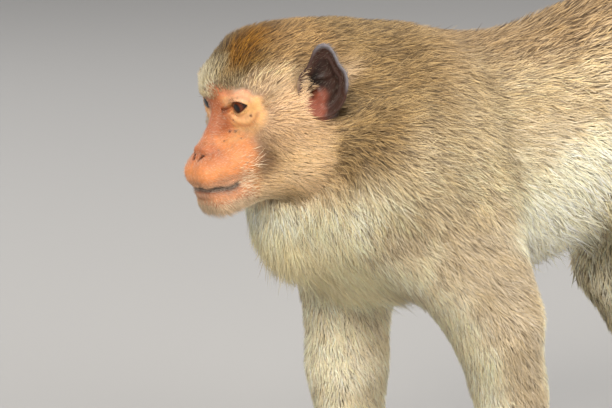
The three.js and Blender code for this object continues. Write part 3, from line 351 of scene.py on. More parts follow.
def body(P, want="d"):
    """Distance to the skin at P, and with want='all' the coat's depth, its lie and the nearest group too."""
    P = np.asarray(P, float)
    n = len(P)
    f, w, wc = np.full(n, 1e9), np.zeros(n), np.zeros(n)
    fl = np.zeros((n, 3)) if want == "all" else None
    best, which = np.full(n, 1e9), np.zeros(n, np.int8)
    lo, hi = P.min(0), P.max(0)
    for gi, g in enumerate(GROUPS):
        d = None
        for part in g.parts:
            gap = np.maximum(np.maximum(lo - part.c, part.c - hi), 0)
            if gap @ gap > (part.r + REACH) ** 2:
                continue
            near = ((P - part.c) ** 2).sum(1) <= (part.r + REACH) ** 2
            if not near.any():
                continue
            if d is None:
                d = np.full(n, 1e9)
            idx = slice(None) if near.all() else np.nonzero(near)[0]
            e, c = part.d(P[idx])
            d[idx] = smin(d[idx], e, g.k)
            if want != "d":
                q = np.exp(-np.maximum(e, -20) / COAT_MIX)
                w[idx] += q
                wc[idx] += q * c
                if want == "all":
                    fl[idx] += q[:, None] * part.flow(P[idx])
        if d is None:
            continue
        if want == "all":
            m = d < best
            best[m], which[m] = d[m], gi
        ok = d < 1e8
        f[ok] = smin(f[ok], d[ok], g.join)
    if want == "d":
        return f
    coat = np.where(w > 1e-30, wc / np.maximum(w, 1e-30), 10)
    for e in EAR_ROOT:
        coat *= 1 - 0.7 * np.exp(-(((P - e) ** 2).sum(1) / 19**2))
    for s in SOCKETS:
        coat *= 1 - np.exp(-(((P - s) ** 2).sum(1) / 17**2))
    return f, coat, (fl / np.maximum(np.linalg.norm(fl, axis=1), 1e-12)[:, None] if want == "all" else None), which


# ------------------------------------------------------------------ details that only the skin has
MOUTH_U = -39.5
EYE_LONG, EYE_TOP, EYE_LOW = 0.93, 0.45, 0.34  # half-angles of the lids' opening
NOSE_A, NOSE_B, NOSE_C = (73.6, 2.8, -22.0), (70.8, 4.0, -20.4), (69.2, 5.6, -19.6)
head_space = lambda P: (np.asarray(P) - HEAD_ORIGIN) @ np.array([HF, HL, HU]).T


def capsule(q, a, b, r0, r1=None):
    a, b = np.asarray(a, float), np.asarray(b, float)
    ab = b - a
    t = np.clip((q - a) @ ab / (ab @ ab), 0, 1)
    return np.linalg.norm(q - a - t[:, None] * ab, axis=1) - (r0 + ((r0 if r1 is None else r1) - r0) * t)


def mouth_height(f, l):  # the line of the closed lips, in the head's frame
    a = np.abs(l)
    return MOUTH_U - 1.2 * np.exp(-(((f - 67) / 5.5) ** 2)) + 0.6 * smooth((64 - f) / 5)


EAR_OUT, EAR_LEAN, EAR_S, EAR_T = rad(43), rad(4), 15, 6


def ear_frame(side):
    origin = H(9.5, side * 34.5, 4.5 if side > 0 else 0)
    level = V(math.sin(YAW), -math.cos(YAW), 0)
    s0 = -math.cos(EAR_OUT) * level + side * math.sin(EAR_OUT) * HL
    up = V(0, 0, 1)
    return (origin, math.cos(EAR_LEAN) * s0 - math.sin(EAR_LEAN) * up, math.cos(EAR_LEAN) * up + math.sin(EAR_LEAN) * s0,
            math.sin(EAR_OUT) * level + side * math.cos(EAR_OUT) * HL)


def ear_edge(phi):
    a, b = EAR_WIDE / 2, EAR_HIGH * 0.47
    e = a * b / np.hypot(b * np.cos(phi), a * np.sin(phi))
    e += 3.6 * np.exp(-(((phi - rad(95)) / rad(20)) ** 2)) - 1.2 * np.exp(-(((phi - rad(150)) / rad(24)) ** 2))
    return e - 2.8 * np.exp(-(((phi - rad(57)) / rad(22)) ** 2)) - 2.8 * np.exp(-(((phi - rad(130)) / rad(22)) ** 2))


def ear_space(P, side):
    o, s, t, n = ear_frame(side)
    q = P - o
    return q @ s - EAR_S, q @ t - EAR_T, q @ n


def ear(P, side):
    s, t, n = ear_space(P, side)
    rho, phi = np.hypot(s, t), np.arctan2(t, s)
    R = ear_edge(phi)
    edge = (rho - R) * 0.92 + 0.35
    r = rho / R
    cup = 4.5 - 7.5 * np.maximum(0, 1 - r**2) + 0.012 * s * s
    # folds: the inner ridge behind the rim, the deep bowl by the canal, the small flap in front of it
    ridge = 1.7 * np.exp(-(((r - 0.63) / 0.11) ** 2)) * smooth((s + 5) / 9)
    ridge += 1.5 * np.exp(-(((t - 0.35 * s - 3.5) / 1.7) ** 2)) * smooth((s + 9) / 6) * smooth((8 - s) / 5)
    bowl = -3.4 * np.exp(-(((s + 6) / 5.5) ** 2 + ((t + 5) / 7) ** 2))
    flap = 2.6 * np.exp(-(((s + 12.5) / 2.4) ** 2 + ((t + 5) / 3.6) ** 2)) + 2.0 * np.exp(-(((s + 5) / 3.0) ** 2 + ((t + 15) / 2.2) ** 2))
    face = cup + ridge + bowl + flap
    shell = np.maximum(np.abs(n - face) * 0.82 - 1.25, edge)
    rim = np.hypot(edge + 1.2, n - cup - 0.3) - 2.0
    return smin(shell, rim, 1.6)


def skin(P):
    """Distance to the finished skin: the body, with eyes, nose, lips and ears."""
    P = np.asarray(P, float)
    f = body(P)
    q = head_space(P)
    hf, hl, hu = q.T
    m = (hf > -40) & (hf < 100) & (np.abs(hl) < 75) & (hu > -85) & (hu < 60)
    if not m.any():
        return f
    d, q, Pm = f[m], q[m], P[m]
    hf, hl, hu = q.T
    a = np.abs(hl)
    qa = np.stack([hf, a, hu], 1)
    # brow and orbit
    c = np.array(EYE)
    r = np.linalg.norm(qa - c, axis=1)
    w = (qa - c) / np.maximum(r, 1e-6)[:, None]
    d = -smin(-d, r - 11.4, 3.5)  # orbit, sunk round the eyeball
    d = smin(d, capsule(qa, (45.0, 6, 12.4), (43.6, 16, 14.4), 3.0, 3.0), 5)  # bony edge over the eye
    d = smin(d, capsule(qa, (43.6, 16, 14.4), (37.5, 26.5, 9.5), 3.0, 2.2), 5)
    d = smin(d, capsule(qa, (45.0, 10.5, -5.4), (38.5, 26, -4.0), 2.0, 2.4), 4)  # soft edge below
    d = smin(d, capsule(qa, (38.5, 26.5, 6.5), (38.0, 27, -1), 2.6), 5)
    # lids: a shell over the ball, open in an almond
    along = np.arctan2(w[:, 1] - 0.10, np.maximum(w[:, 0], 0.05))
    high = np.arctan2(w[:, 2] + 0.02 - 0.16 * along, np.maximum(w[:, 0], 0.05))
    lid = r - 10.15 + 0.55 * np.exp(-(((np.abs(high) - 0.62) / 0.10) ** 2)) * (w[:, 0] > 0)
    d = smin(d, np.where(w[:, 0] > -0.2, lid, 1e3), 2.0)
    ax = np.clip(along / EYE_LONG, -1, 1)
    top = EYE_TOP * (1 - np.abs(ax) ** 2.4) ** 0.8
    low = -EYE_LOW * (1 - np.abs(ax) ** 2.0) ** 0.8
    slit = np.maximum(high - top, low - high) * 9.6
    slit = np.maximum(slit, (np.abs(along) - EYE_LONG) * 9.6)
    opening = np.maximum(np.maximum(slit, 7.6 - r), r - 17)
    opening = np.where(w[:, 0] > 0.15, opening, 1e3)
    rim_out = (slit - 0.8) / 0.8
    d -= 0.22 * np.exp(-(rim_out**2)) * (w[:, 0] > 0.2) * np.exp(-(((r - 10.2) / 1.5) ** 2))
    d = -smin(-d, opening, 0.5)
    # folds under and beyond the eye
    for fa, fr, fd in ((14.3, 1.1, 0.35), (17.2, 1.3, 0.3)):
        g = np.abs(r - fa) / fr
        d += fd * np.exp(-(g**2)) * smooth((-w[:, 2] - 0.25) / 0.3) * smooth((w[:, 0] - 0.05) / 0.3)
    # nose: wings, nostrils and the groove between them
    d = smin(d, capsule(qa, (68.6, 4.0, -16.8), (65.0, 8.2, -18.6), 2.4, 2.2), 2.6)
    nostril = smin(capsule(qa, NOSE_A, NOSE_B, 1.2, 1.5), capsule(qa, NOSE_B, NOSE_C, 1.5, 0.9), 0.8)
    d = -smin(-d, nostril, 0.7)
    d += 0.8 * np.exp(-((a / 0.9) ** 2)) * smooth((hf - 64) / 5) * smooth((-19 - hu) / 2) * smooth((hu + 26) / 3)
    d += 0.5 * np.exp(-(((a - 9.2) / 1.2) ** 2)) * np.exp(-(((hu + 20) / 4.5) ** 2)) * smooth((hf - 56) / 5)
    # lips
    mh = mouth_height(hf, hl)
    front = smooth((hf - 58.5) / 4)
    d += 1.5 * front * np.exp(-(((hu - mh) / 0.95) ** 2))
    d -= 0.35 * front * np.exp(-(((hu - mh - 2.4) / 1.4) ** 2))
    d -= 0.3 * front * np.exp(-(((hu - mh + 2.4) / 1.5) ** 2))
    d += 0.8 * np.exp(-(((hu - mh + 7.5) / 2.2) ** 2)) * smooth((hf - 58) / 8) * np.exp(-((a / 11) ** 2))
    for k in range(5):  # fine upright creases of the lips
        d += 0.12 * np.exp(-(((a - 3.2 - 3.4 * k) / 0.5) ** 2)) * front * np.exp(-(((hu - mh) / 4) ** 2))
    for s in (1, -1):
        near = np.abs(Pm - (ear_frame(s)[0])).max(1) < 60
        if near.any():
            e = ear(Pm[near], s)
            d[near] = smin(d[near], e, 4.0)
            canal = capsule(Pm[near], H(2.5, s * 33, 1.5), H(4.5, s * 42, 1.0), 2.6, 3.0)
            d[near] = -smin(-d[near], canal, 2.0)
    f = f.copy()
    f[m] = d
    return f


said("body described")

# ------------------------------------------------------------------ camera, floor and light
AZ, EL_DEG, DIST, MM_PX = 62.0, 9.0, 2050.0, 0.62
az, el = rad(AZ), rad(EL_DEG)
TOWARD = V(math.sin(az) * math.cos(el), -math.cos(az) * math.cos(el), math.sin(el))
RIGHT = V(math.cos(az), math.sin(az), 0)
UP = np.cross(TOWARD, RIGHT)
pupil = EYES[0] + HF * 8.5
target = pupil + RIGHT * (306 - 236.6) * MM_PX - UP * (204 - 107.8) * MM_PX
cam_data = bpy.data.cameras.new("camera")
cam_data.sensor_width = 36.0
cam_data.lens = 36.0 * DIST / (612 * MM_PX)
cam_data.clip_start, cam_data.clip_end = 0.05, 60.0
cam = bpy.data.objects.new("camera", cam_data)
bpy.context.scene.collection.objects.link(cam)
from mathutils import Matrix, Vector  # noqa: E402

basis = Matrix([list(RIGHT), list(UP), list(TOWARD)]).transposed().to_4x4()
basis.translation = Vector(place(target + TOWARD * DIST))
cam.matrix_world = basis
bpy.context.scene.camera = cam


def lin(c):
    c = np.asarray(c, float)
    return np.where(c <= 0.04045, c / 12.92, ((c + 0.055) / 1.055) ** 2.4)


def new_material(name):
    m = bpy.data.materials.new(name)
    m.use_nodes = True
    nt = m.node_tree
    nt.nodes.clear()
    out = nt.nodes.new("ShaderNodeOutputMaterial")
    bsdf = nt.nodes.new("ShaderNodeBsdfPrincipled")
    nt.links.new(bsdf.outputs[0], out.inputs[0])
    return m, nt, bsdf


floor_mat, nt, bsdf = new_material("studio_floor")
tex = nt.nodes.new("ShaderNodeTexNoise")
tex.inputs["Scale"].default_value = 6.0
ramp = nt.nodes.new("ShaderNodeValToRGB")
ramp.color_ramp.elements[0].color = (*lin((0.60, 0.59, 0.575)), 1)
ramp.color_ramp.elements[1].color = (*lin((0.63, 0.62, 0.605)), 1)
nt.links.new(tex.outputs["Fac"], ramp.inputs["Fac"])
nt.links.new(ramp.outputs["Color"], bsdf.inputs["Base Color"])
bsdf.inputs["Roughness"].default_value = 0.85


def studio_floor():
    """A floor that sweeps up far behind, all round the model."""
    n, rings = 96, []
    profile = [(0.0, 0.0), (1.5, 0.0), (5.0, 0.0), (10.0, 0.0)] + [(10.0 + 3 * math.sin(t), 3 - 3 * math.cos(t)) for t in np.linspace(0.15, math.pi / 2, 9)] + [(13.0, 9.0)]
    verts = [(0, 0, 0)]
    for r, z in profile[1:]:
        rings.append(len(verts))
        verts += [(r * math.cos(2 * math.pi * i / n), r * math.sin(2 * math.pi * i / n), z) for i in range(n)]
    faces = [(0, rings[0] + i, rings[0] + (i + 1) % n) for i in range(n)]
    for a, b in zip(rings, rings[1:]):
        faces += [(a + i, b + i, b + (i + 1) % n, a + (i + 1) % n) for i in range(n)]
    me = bpy.data.meshes.new("studio_floor")
    me.from_pydata(verts, [], faces)
    me.shade_smooth()
    me.materials.append(floor_mat)
    o = bpy.data.objects.new("studio_floor", me)
    bpy.context.scene.collection.objects.link(o)
    return o


studio_floor()


def area_light(name, at, size, power, colour, aim):
    d = bpy.data.lights.new(name, "AREA")
    d.shape, d.size, d.energy, d.color = "DISK", size, power, colour
    o = bpy.data.objects.new(name, d)
    o.location = at
    o.rotation_euler = (Vector(aim) - Vector(at)).to_track_quat("-Z", "Y").to_euler()
    bpy.context.scene.collection.objects.link(o)


middle = place(V(0, 60, 220))
area_light("key", middle + V(2.5, -2.5, 1.7), 1.6, 162, (1.0, 0.955, 0.89), middle)
area_light("top", middle + V(0.9, 0.6, 3.2), 2.6, 36, (1.0, 0.98, 0.95), middle)
area_light("fill", middle + V(-2.8, -1.2, 1.6), 2.4, 50, (0.95, 0.97, 1.0), middle)
area_light("side", middle + V(2.6, 1.6, 1.1), 2.2, 95, (1.0, 0.97, 0.93), middle)
area_light("back", middle + V(-1.0, 3.0, 2.2), 2.0, 34, (1.0, 0.98, 0.96), middle)
world = bpy.data.worlds.new("studio")
world.use_nodes = True
world.node_tree.nodes["Background"].inputs[0].default_value = (0.93, 0.95, 1.0, 1)
world.node_tree.nodes["Background"].inputs[1].default_value = 0.80
bpy.context.scene.world = world
bpy.context.scene.view_settings.view_transform = "Standard"

# ------------------------------------------------------------------ the skin's mesh


def steps(*ranges):
    pts = []
    for a, b, h in ranges:
        n = max(1, round((b - a) / h))
        pts += list(a + (b - a) * np.arange(n) / n)
    pts.append(ranges[-1][1])
    while (len(pts) - 1) % 4:
        pts.append(pts[-1] + ranges[-1][2])
    return np.array(pts)


def in_chunks(fn, P, size=42.0):
    """fn over P, box by box, so that far parts are skipped."""
    P = np.asarray(P, float)
    k = np.floor((P - P.min(0)) / size).astype(np.int64)
    key = (k[:, 0] * 4096 + k[:, 1]) * 4096 + k[:, 2]
    order = np.argsort(key, kind="stable")
    cut = np.nonzero(np.diff(key[order]))[0] + 1
    out = None
    for part in np.split(order, cut):
        r = fn(P[part])
        r = r if isinstance(r, tuple) else (r,)
        if out is None:
            out = [np.zeros((len(P),) + x.shape[1:], x.dtype) for x in r]
        for o, x in zip(out, r):
            o[part] = x
    return out[0] if len(out) == 1 else out


def skin_mesh():
    k = 1.0
    X = steps((-92, -62, 1.7 * k), (-62, 66, 0.9 * k), (66, 95, 1.7 * k))
    Y = steps((-140, -22, 0.9 * k), (-22, 350, 1.7 * k), (350, 860, 2.6 * k))
    Z = steps((-3, 34, 1.15 * k), (34, 236, 1.8 * k), (236, 352, 0.9 * k), (352, 384, 1.7 * k))
    nx, ny, nz = len(X), len(Y), len(Z)
    B = 4
    bx, by, bz = (nx - 1) // B, (ny - 1) // B, (nz - 1) // B
    cx, cy, cz = (X[:-1:B] + X[B::B]) / 2, (Y[:-1:B] + Y[B::B]) / 2, (Z[:-1:B] + Z[B::B]) / 2
    C = np.stack(np.meshgrid(cx, cy, cz, indexing="ij"), -1).reshape(-1, 3)
    half = np.stack(np.meshgrid((X[B::B] - X[:-1:B]) / 2, (Y[B::B] - Y[:-1:B]) / 2, (Z[B::B] - Z[:-1:B]) / 2, indexing="ij"), -1).reshape(-1, 3)
    fc = in_chunks(body, C, 60.0)
    slack = np.full(len(C), 1.0)
    q = head_space(C)
    slack[(q[:, 0] > 20) & (q[:, 0] < 95) & (np.abs(q[:, 1]) < 40) & (q[:, 2] > -70) & (q[:, 2] < 30)] = 4.0
    live = np.abs(fc) < np.linalg.norm(half, axis=1) * 1.25 + slack
    for s in (1, -1):
        o, es, et, en = ear_frame(s)
        live |= np.linalg.norm(C - (o + es * EAR_S + et * EAR_T), axis=1) < 33
    live = live.reshape(bx, by, bz)
    val = np.repeat(np.repeat(np.repeat(fc.reshape(bx, by, bz).astype(np.float32), B, 0), B, 1), B, 2)
    val = np.pad(val, ((0, 1), (0, 1), (0, 1)), mode="edge")
    need = np.zeros((nx, ny, nz), bool)
    big = np.repeat(np.repeat(np.repeat(live, B, 0), B, 1), B, 2)
    for i in (0, 1):
        for j in (0, 1):
            for l in (0, 1):
                need[i : i + nx - 1, j : j + ny - 1, l : l + nz - 1] |= big
    I = np.nonzero(need)
    P = np.stack([X[I[0]], Y[I[1]], Z[I[2]]], 1)
    said(f"grid {nx}x{ny}x{nz}, {len(P)} points to evaluate")
    val[I] = in_chunks(skin, P)
    said("skin field evaluated")
    s = val < 0
    cnt = np.zeros((nx - 1, ny - 1, nz - 1), np.int8)
    for i in (0, 1):
        for j in (0, 1):
            for l in (0, 1):
                cnt += s[i : i + nx - 1, j : j + ny - 1, l : l + nz - 1]
    act = (cnt > 0) & (cnt < 8)
    ci, cj, ck = np.nonzero(act)
    cell = (ci.astype(np.int64) * (ny - 1) + cj) * (nz - 1) + ck
    v = np.stack([val[ci + (c & 1), cj + ((c >> 1) & 1), ck + (c >> 2)] for c in range(8)], 1).astype(float)
    pos, m = np.zeros((len(cell), 3)), np.zeros(len(cell))
    for a in range(8):
        for bit in (1, 2, 4):
            if a & bit:
                continue
            b = a | bit
            x = (v[:, a] < 0) != (v[:, b] < 0)
            t = np.where(x, v[:, a] / np.where(x, v[:, a] - v[:, b], 1), 0)
            pa, pb = V(a & 1, (a >> 1) & 1, a >> 2), V(b & 1, (b >> 1) & 1, b >> 2)
            pos += np.where(x[:, None], pa + (pb - pa) * t[:, None], 0)
            m += x
    pos /= m[:, None]
    lo = np.stack([X[ci], Y[cj], Z[ck]], 1)
    hi = np.stack([X[ci + 1], Y[cj + 1], Z[ck + 1]], 1)
    pos = lo + pos * (hi - lo)
    quads = []
    strides = ((ny - 1) * (nz - 1), nz - 1, 1)
    for ax in range(3):
        sl0, sl1 = [slice(None)] * 3, [slice(None)] * 3
        sl0[ax], sl1[ax] = slice(0, -1), slice(1, None)
        cross = s[tuple(sl0)] != s[tuple(sl1)]
        b, c = (ax + 1) % 3, (ax + 2) % 3
        edge = [0, 0, 0]
        i3 = list(np.nonzero(cross))
        keep = (i3[b] > 0) & (i3[c] > 0) & (i3[b] < (nx, ny, nz)[b] - 1) & (i3[c] < (nx, ny, nz)[c] - 1)
        i3 = [x[keep] for x in i3]
        base = sum(i3[a].astype(np.int64) * strides[a] for a in range(3))
        inside = s[i3[0], i3[1], i3[2]]
        ids = [np.searchsorted(cell, base - db * strides[b] - dc * strides[c]) for db, dc in ((0, 0), (1, 0), (1, 1), (0, 1))]
        qd = np.stack(ids, 1)
        qd[~inside] = qd[~inside][:, ::-1]
        quads.append(qd)
    quads = np.concatenate(quads)
    # the largest surface only
    root = np.arange(len(pos))
    for _ in range(200):
        low = root[quads].min(1)
        new = root.copy()
        np.minimum.at(new, quads.reshape(-1), np.repeat(low, 4))
        new = new[new]
        if (new == root).all():
            break
        root = new
    ids, counts = np.unique(root, return_counts=True)
    keep_v = root == ids[counts.argmax()]
    quads = quads[keep_v[quads[:, 0]]]
    remap = np.cumsum(keep_v) - 1
    quads, pos = remap[quads], pos[keep_v]
    # pull the points of head, hands and feet onto the true surface
    q = head_space(pos)
    fine = ((q[:, 0] > -20) & (q[:, 2] > -75)) | (pos[:, 2] < 40)
    for _ in range(2):
        p = pos[fine]
        e = 0.35
        D = in_chunks(skin, np.concatenate([p, p + V(e, 0, 0), p + V(0, e, 0), p + V(0, 0, e)])).reshape(4, -1)
        g = (D[1:] - D[0]).T / e
        move = np.clip(D[0] / np.maximum((g * g).sum(1), 0.15), -0.7, 0.7)
        pos[fine] = p - g * move[:, None]
    # the feet and hands rest on small flats on the floor
    pos[:, 2] = np.maximum(pos[:, 2], 0.0)
    a = np.linalg.norm(pos[quads[:, 0]] - pos[quads[:, 2]], axis=1)
    b = np.linalg.norm(pos[quads[:, 1]] - pos[quads[:, 3]], axis=1)
    tris = np.where((a <= b)[:, None], np.stack([quads[:, 0], quads[:, 1], quads[:, 2], quads[:, 0], quads[:, 2], quads[:, 3]], 1),
                    np.stack([quads[:, 0], quads[:, 1], quads[:, 3], quads[:, 1], quads[:, 2], quads[:, 3]], 1)).reshape(-1, 3)
    said(f"skin mesh {len(pos)} points, {len(tris)} triangles")
    return pos, tris


def make_mesh(name, pos, faces, smooth_shade=True):
    """A mesh object from millimetre points and faces that are all triangles or all quads."""
    me = bpy.data.meshes.new(name)
    faces = np.asarray(faces, np.int32)
    k = faces.shape[1]
    me.vertices.add(len(pos))
    me.vertices.foreach_set("co", place(pos).astype(np.float32).ravel())
    me.loops.add(faces.size)
    me.loops.foreach_set("vertex_index", faces.ravel())
    me.polygons.add(len(faces))
    me.polygons.foreach_set("loop_start", np.arange(0, faces.size, k, dtype=np.int32))
    me.update(calc_edges=True)
    if smooth_shade:
        me.shade_smooth()
    o = bpy.data.objects.new(name, me)
    bpy.context.scene.collection.objects.link(o)
    return o


def apply_modifiers(o):
    dg = bpy.context.evaluated_depsgraph_get()
    me = bpy.data.meshes.new_from_object(o.evaluated_get(dg), preserve_all_data_layers=True, depsgraph=dg)
    old = o.data
    o.modifiers.clear()
    o.data = me
    bpy.data.meshes.remove(old)
    me.name = o.name


SKIN_POS, SKIN_TRI = skin_mesh()

# ------------------------------------------------------------------ guide: distance, coat, lie and group on a coarse grid


class Guide:
    def __init__(s, h=6.0):
        s.h, s.lo = h, V(-110, -165, -16)
        s.n = np.ceil((V(116, 862, 402) - s.lo) / h).astype(int)
        I = np.stack(np.meshgrid(*[np.arange(k) for k in s.n], indexing="ij"), -1).reshape(-1, 3)
        P = s.lo + I * h
        f = in_chunks(body, P, 60.0)
        live = np.abs(f) < 48
        _, coat, lie, which = in_chunks(lambda Q: body(Q, "all"), P[live], 60.0)
        s.data = np.zeros((len(P), 5), np.float32)
        s.data[:, 0] = f
        s.data[:, 1] = 8
        s.data[live, 1] = coat
        s.data[live, 2:5] = lie
        s.data = s.data.reshape(*s.n, 5)
        s.which = np.zeros(len(P), np.int8)
        s.which[live] = which
        s.which = s.which.reshape(*s.n)

    def at(s, P):
        q = np.clip((P - s.lo) / s.h, 0, s.n - 1.001)
        i = q.astype(int)
        t = (q - i).astype(np.float32)
        out = 0
        for c in range(8):
            o = [c & 1, (c >> 1) & 1, c >> 2]
            w = np.prod([t[:, a] if o[a] else 1 - t[:, a] for a in range(3)], 0)
            out = out + w[:, None] * s.data[i[:, 0] + o[0], i[:, 1] + o[1], i[:, 2] + o[2]]
        return out

    def normal(s, P, e=2.5):
        g = np.stack([s.at(P + d)[:, 0] - s.at(P - d)[:, 0] for d in np.eye(3) * e], 1)
        return g / np.maximum(np.linalg.norm(g, axis=1), 1e-9)[:, None]

    def group(s, P):
        i = np.clip(np.round((P - s.lo) / s.h).astype(int), 0, s.n - 1)
        return s.which[i[:, 0], i[:, 1], i[:, 2]]


G = Guide()
said("guide ready")


def noise(P, scale, seed=0):
    """Smooth value noise, -1 to 1, that repeats nowhere near."""
    q = np.asarray(P) / scale + 1000.5
    i = np.floor(q).astype(np.int64)
    t = q - i
    t = t * t * (3 - 2 * t)
    out = 0.0
    for c in range(8):
        o = np.array([c & 1, (c >> 1) & 1, c >> 2])
        k = i + o
        h = (k[:, 0] * 73856093) ^ (k[:, 1] * 19349663) ^ (k[:, 2] * 83492791) ^ (seed * 2654435761)
        h = (h ^ (h >> 13)) * 1274126177 & 0xFFFFFFFF
        h = (h ^ (h >> 16)) & 0xFFFF
        w = np.prod([t[:, a] if o[a] else 1 - t[:, a] for a in range(3)], 0)
        out = out + w * (h / 32767.5 - 1)
    return out


bump01 = lambda x, c, w: np.exp(-(((x - c) / w) ** 2))


def ear_cover(P):
    """1 on the ear flaps, 0 on the head."""
    out = np.zeros(len(P))
    for side in (1, -1):
        s, t, n = ear_space(P, side)
        r = np.hypot(s, t) / ear_edge(np.arctan2(t, s))
        out = np.maximum(out, smooth((1.22 - r) / 0.12) * smooth((s + 14) / 4) * (np.abs(n) < 14))
    return out


def bare_face(P):
    """1 on the naked skin of the face, 0 where the coat grows."""
    f, l, u = head_space(P).T
    a = np.abs(l)
    edge = 34.0 + 8.5 * smooth((2 - u) / 20) + 13.5 * smooth((-27 - u) / 8) + 2.0 * noise(P, 6, 3)
    b = smooth((f - edge + 3) / 9)
    top = 13.6 + 3.4 * smooth((a - 5) / 8) - 3.6 * smooth((a - 24) / 7) + 1.1 * noise(P, 5, 4)
    b *= smooth((top - u) / 3.5)
    b *= 1 - smooth((-50 - u) / 4) * smooth((74 - f) / 6) * 0.9  # chin and jaw are haired
    return b


def naked(P, N):
    """Where no tufts grow: face, palms, soles, finger ends, seat pads."""
    out = bare_face(P)
    z = P[:, 2]
    low = z < 34
    out = np.where(low, np.maximum(out, smooth((0.05 - N[:, 2]) / 0.3) * smooth((16 - z) / 6)), out)
    for b, c, r, _ in DIGITS:
        d = np.linalg.norm(P - c, axis=1)
        out = np.maximum(out, smooth((r + 6.5 - d) / 2.5))
    for side in (1, -1):
        d = np.linalg.norm((P - V(side * 21, 352, 268)) / V(14, 30, 17), axis=1)
        out = np.maximum(out, smooth((1.0 - d) / 0.18))
    return out


# ------------------------------------------------------------------ markings, shared by skin and coat
C = {k: lin(v) for k, v in dict(
    crown=(0.59, 0.47, 0.31), front=(0.36, 0.28, 0.13), streak=(0.50, 0.33, 0.01), crest=(0.27, 0.19, 0.10), brow=(0.77, 0.72, 0.59), side=(0.78, 0.67, 0.53),
    cheek=(0.83, 0.69, 0.53), patch=(0.38, 0.24, 0.11), jaw=(0.86, 0.73, 0.56), lip_hair=(0.80, 0.67, 0.52), nape=(0.55, 0.45, 0.30),
    shoulder=(0.77, 0.70, 0.57), arm=(0.76, 0.69, 0.58), arm_edge=(0.97, 0.91, 0.78), cream=(0.96, 0.90, 0.73), white=(0.98, 0.95, 0.84),
    flank=(0.74, 0.66, 0.53), back=(0.60, 0.50, 0.37), leg=(0.87, 0.79, 0.65), tail=(0.50, 0.43, 0.33), tail_low=(0.74, 0.67, 0.55),
    hand=(0.50, 0.43, 0.36), pale_hair=(0.90, 0.85, 0.76)).items()}


def blend(a, b, w):
    w = np.clip(w, 0, 1)[:, None]
    return a * (1 - w) + b * w


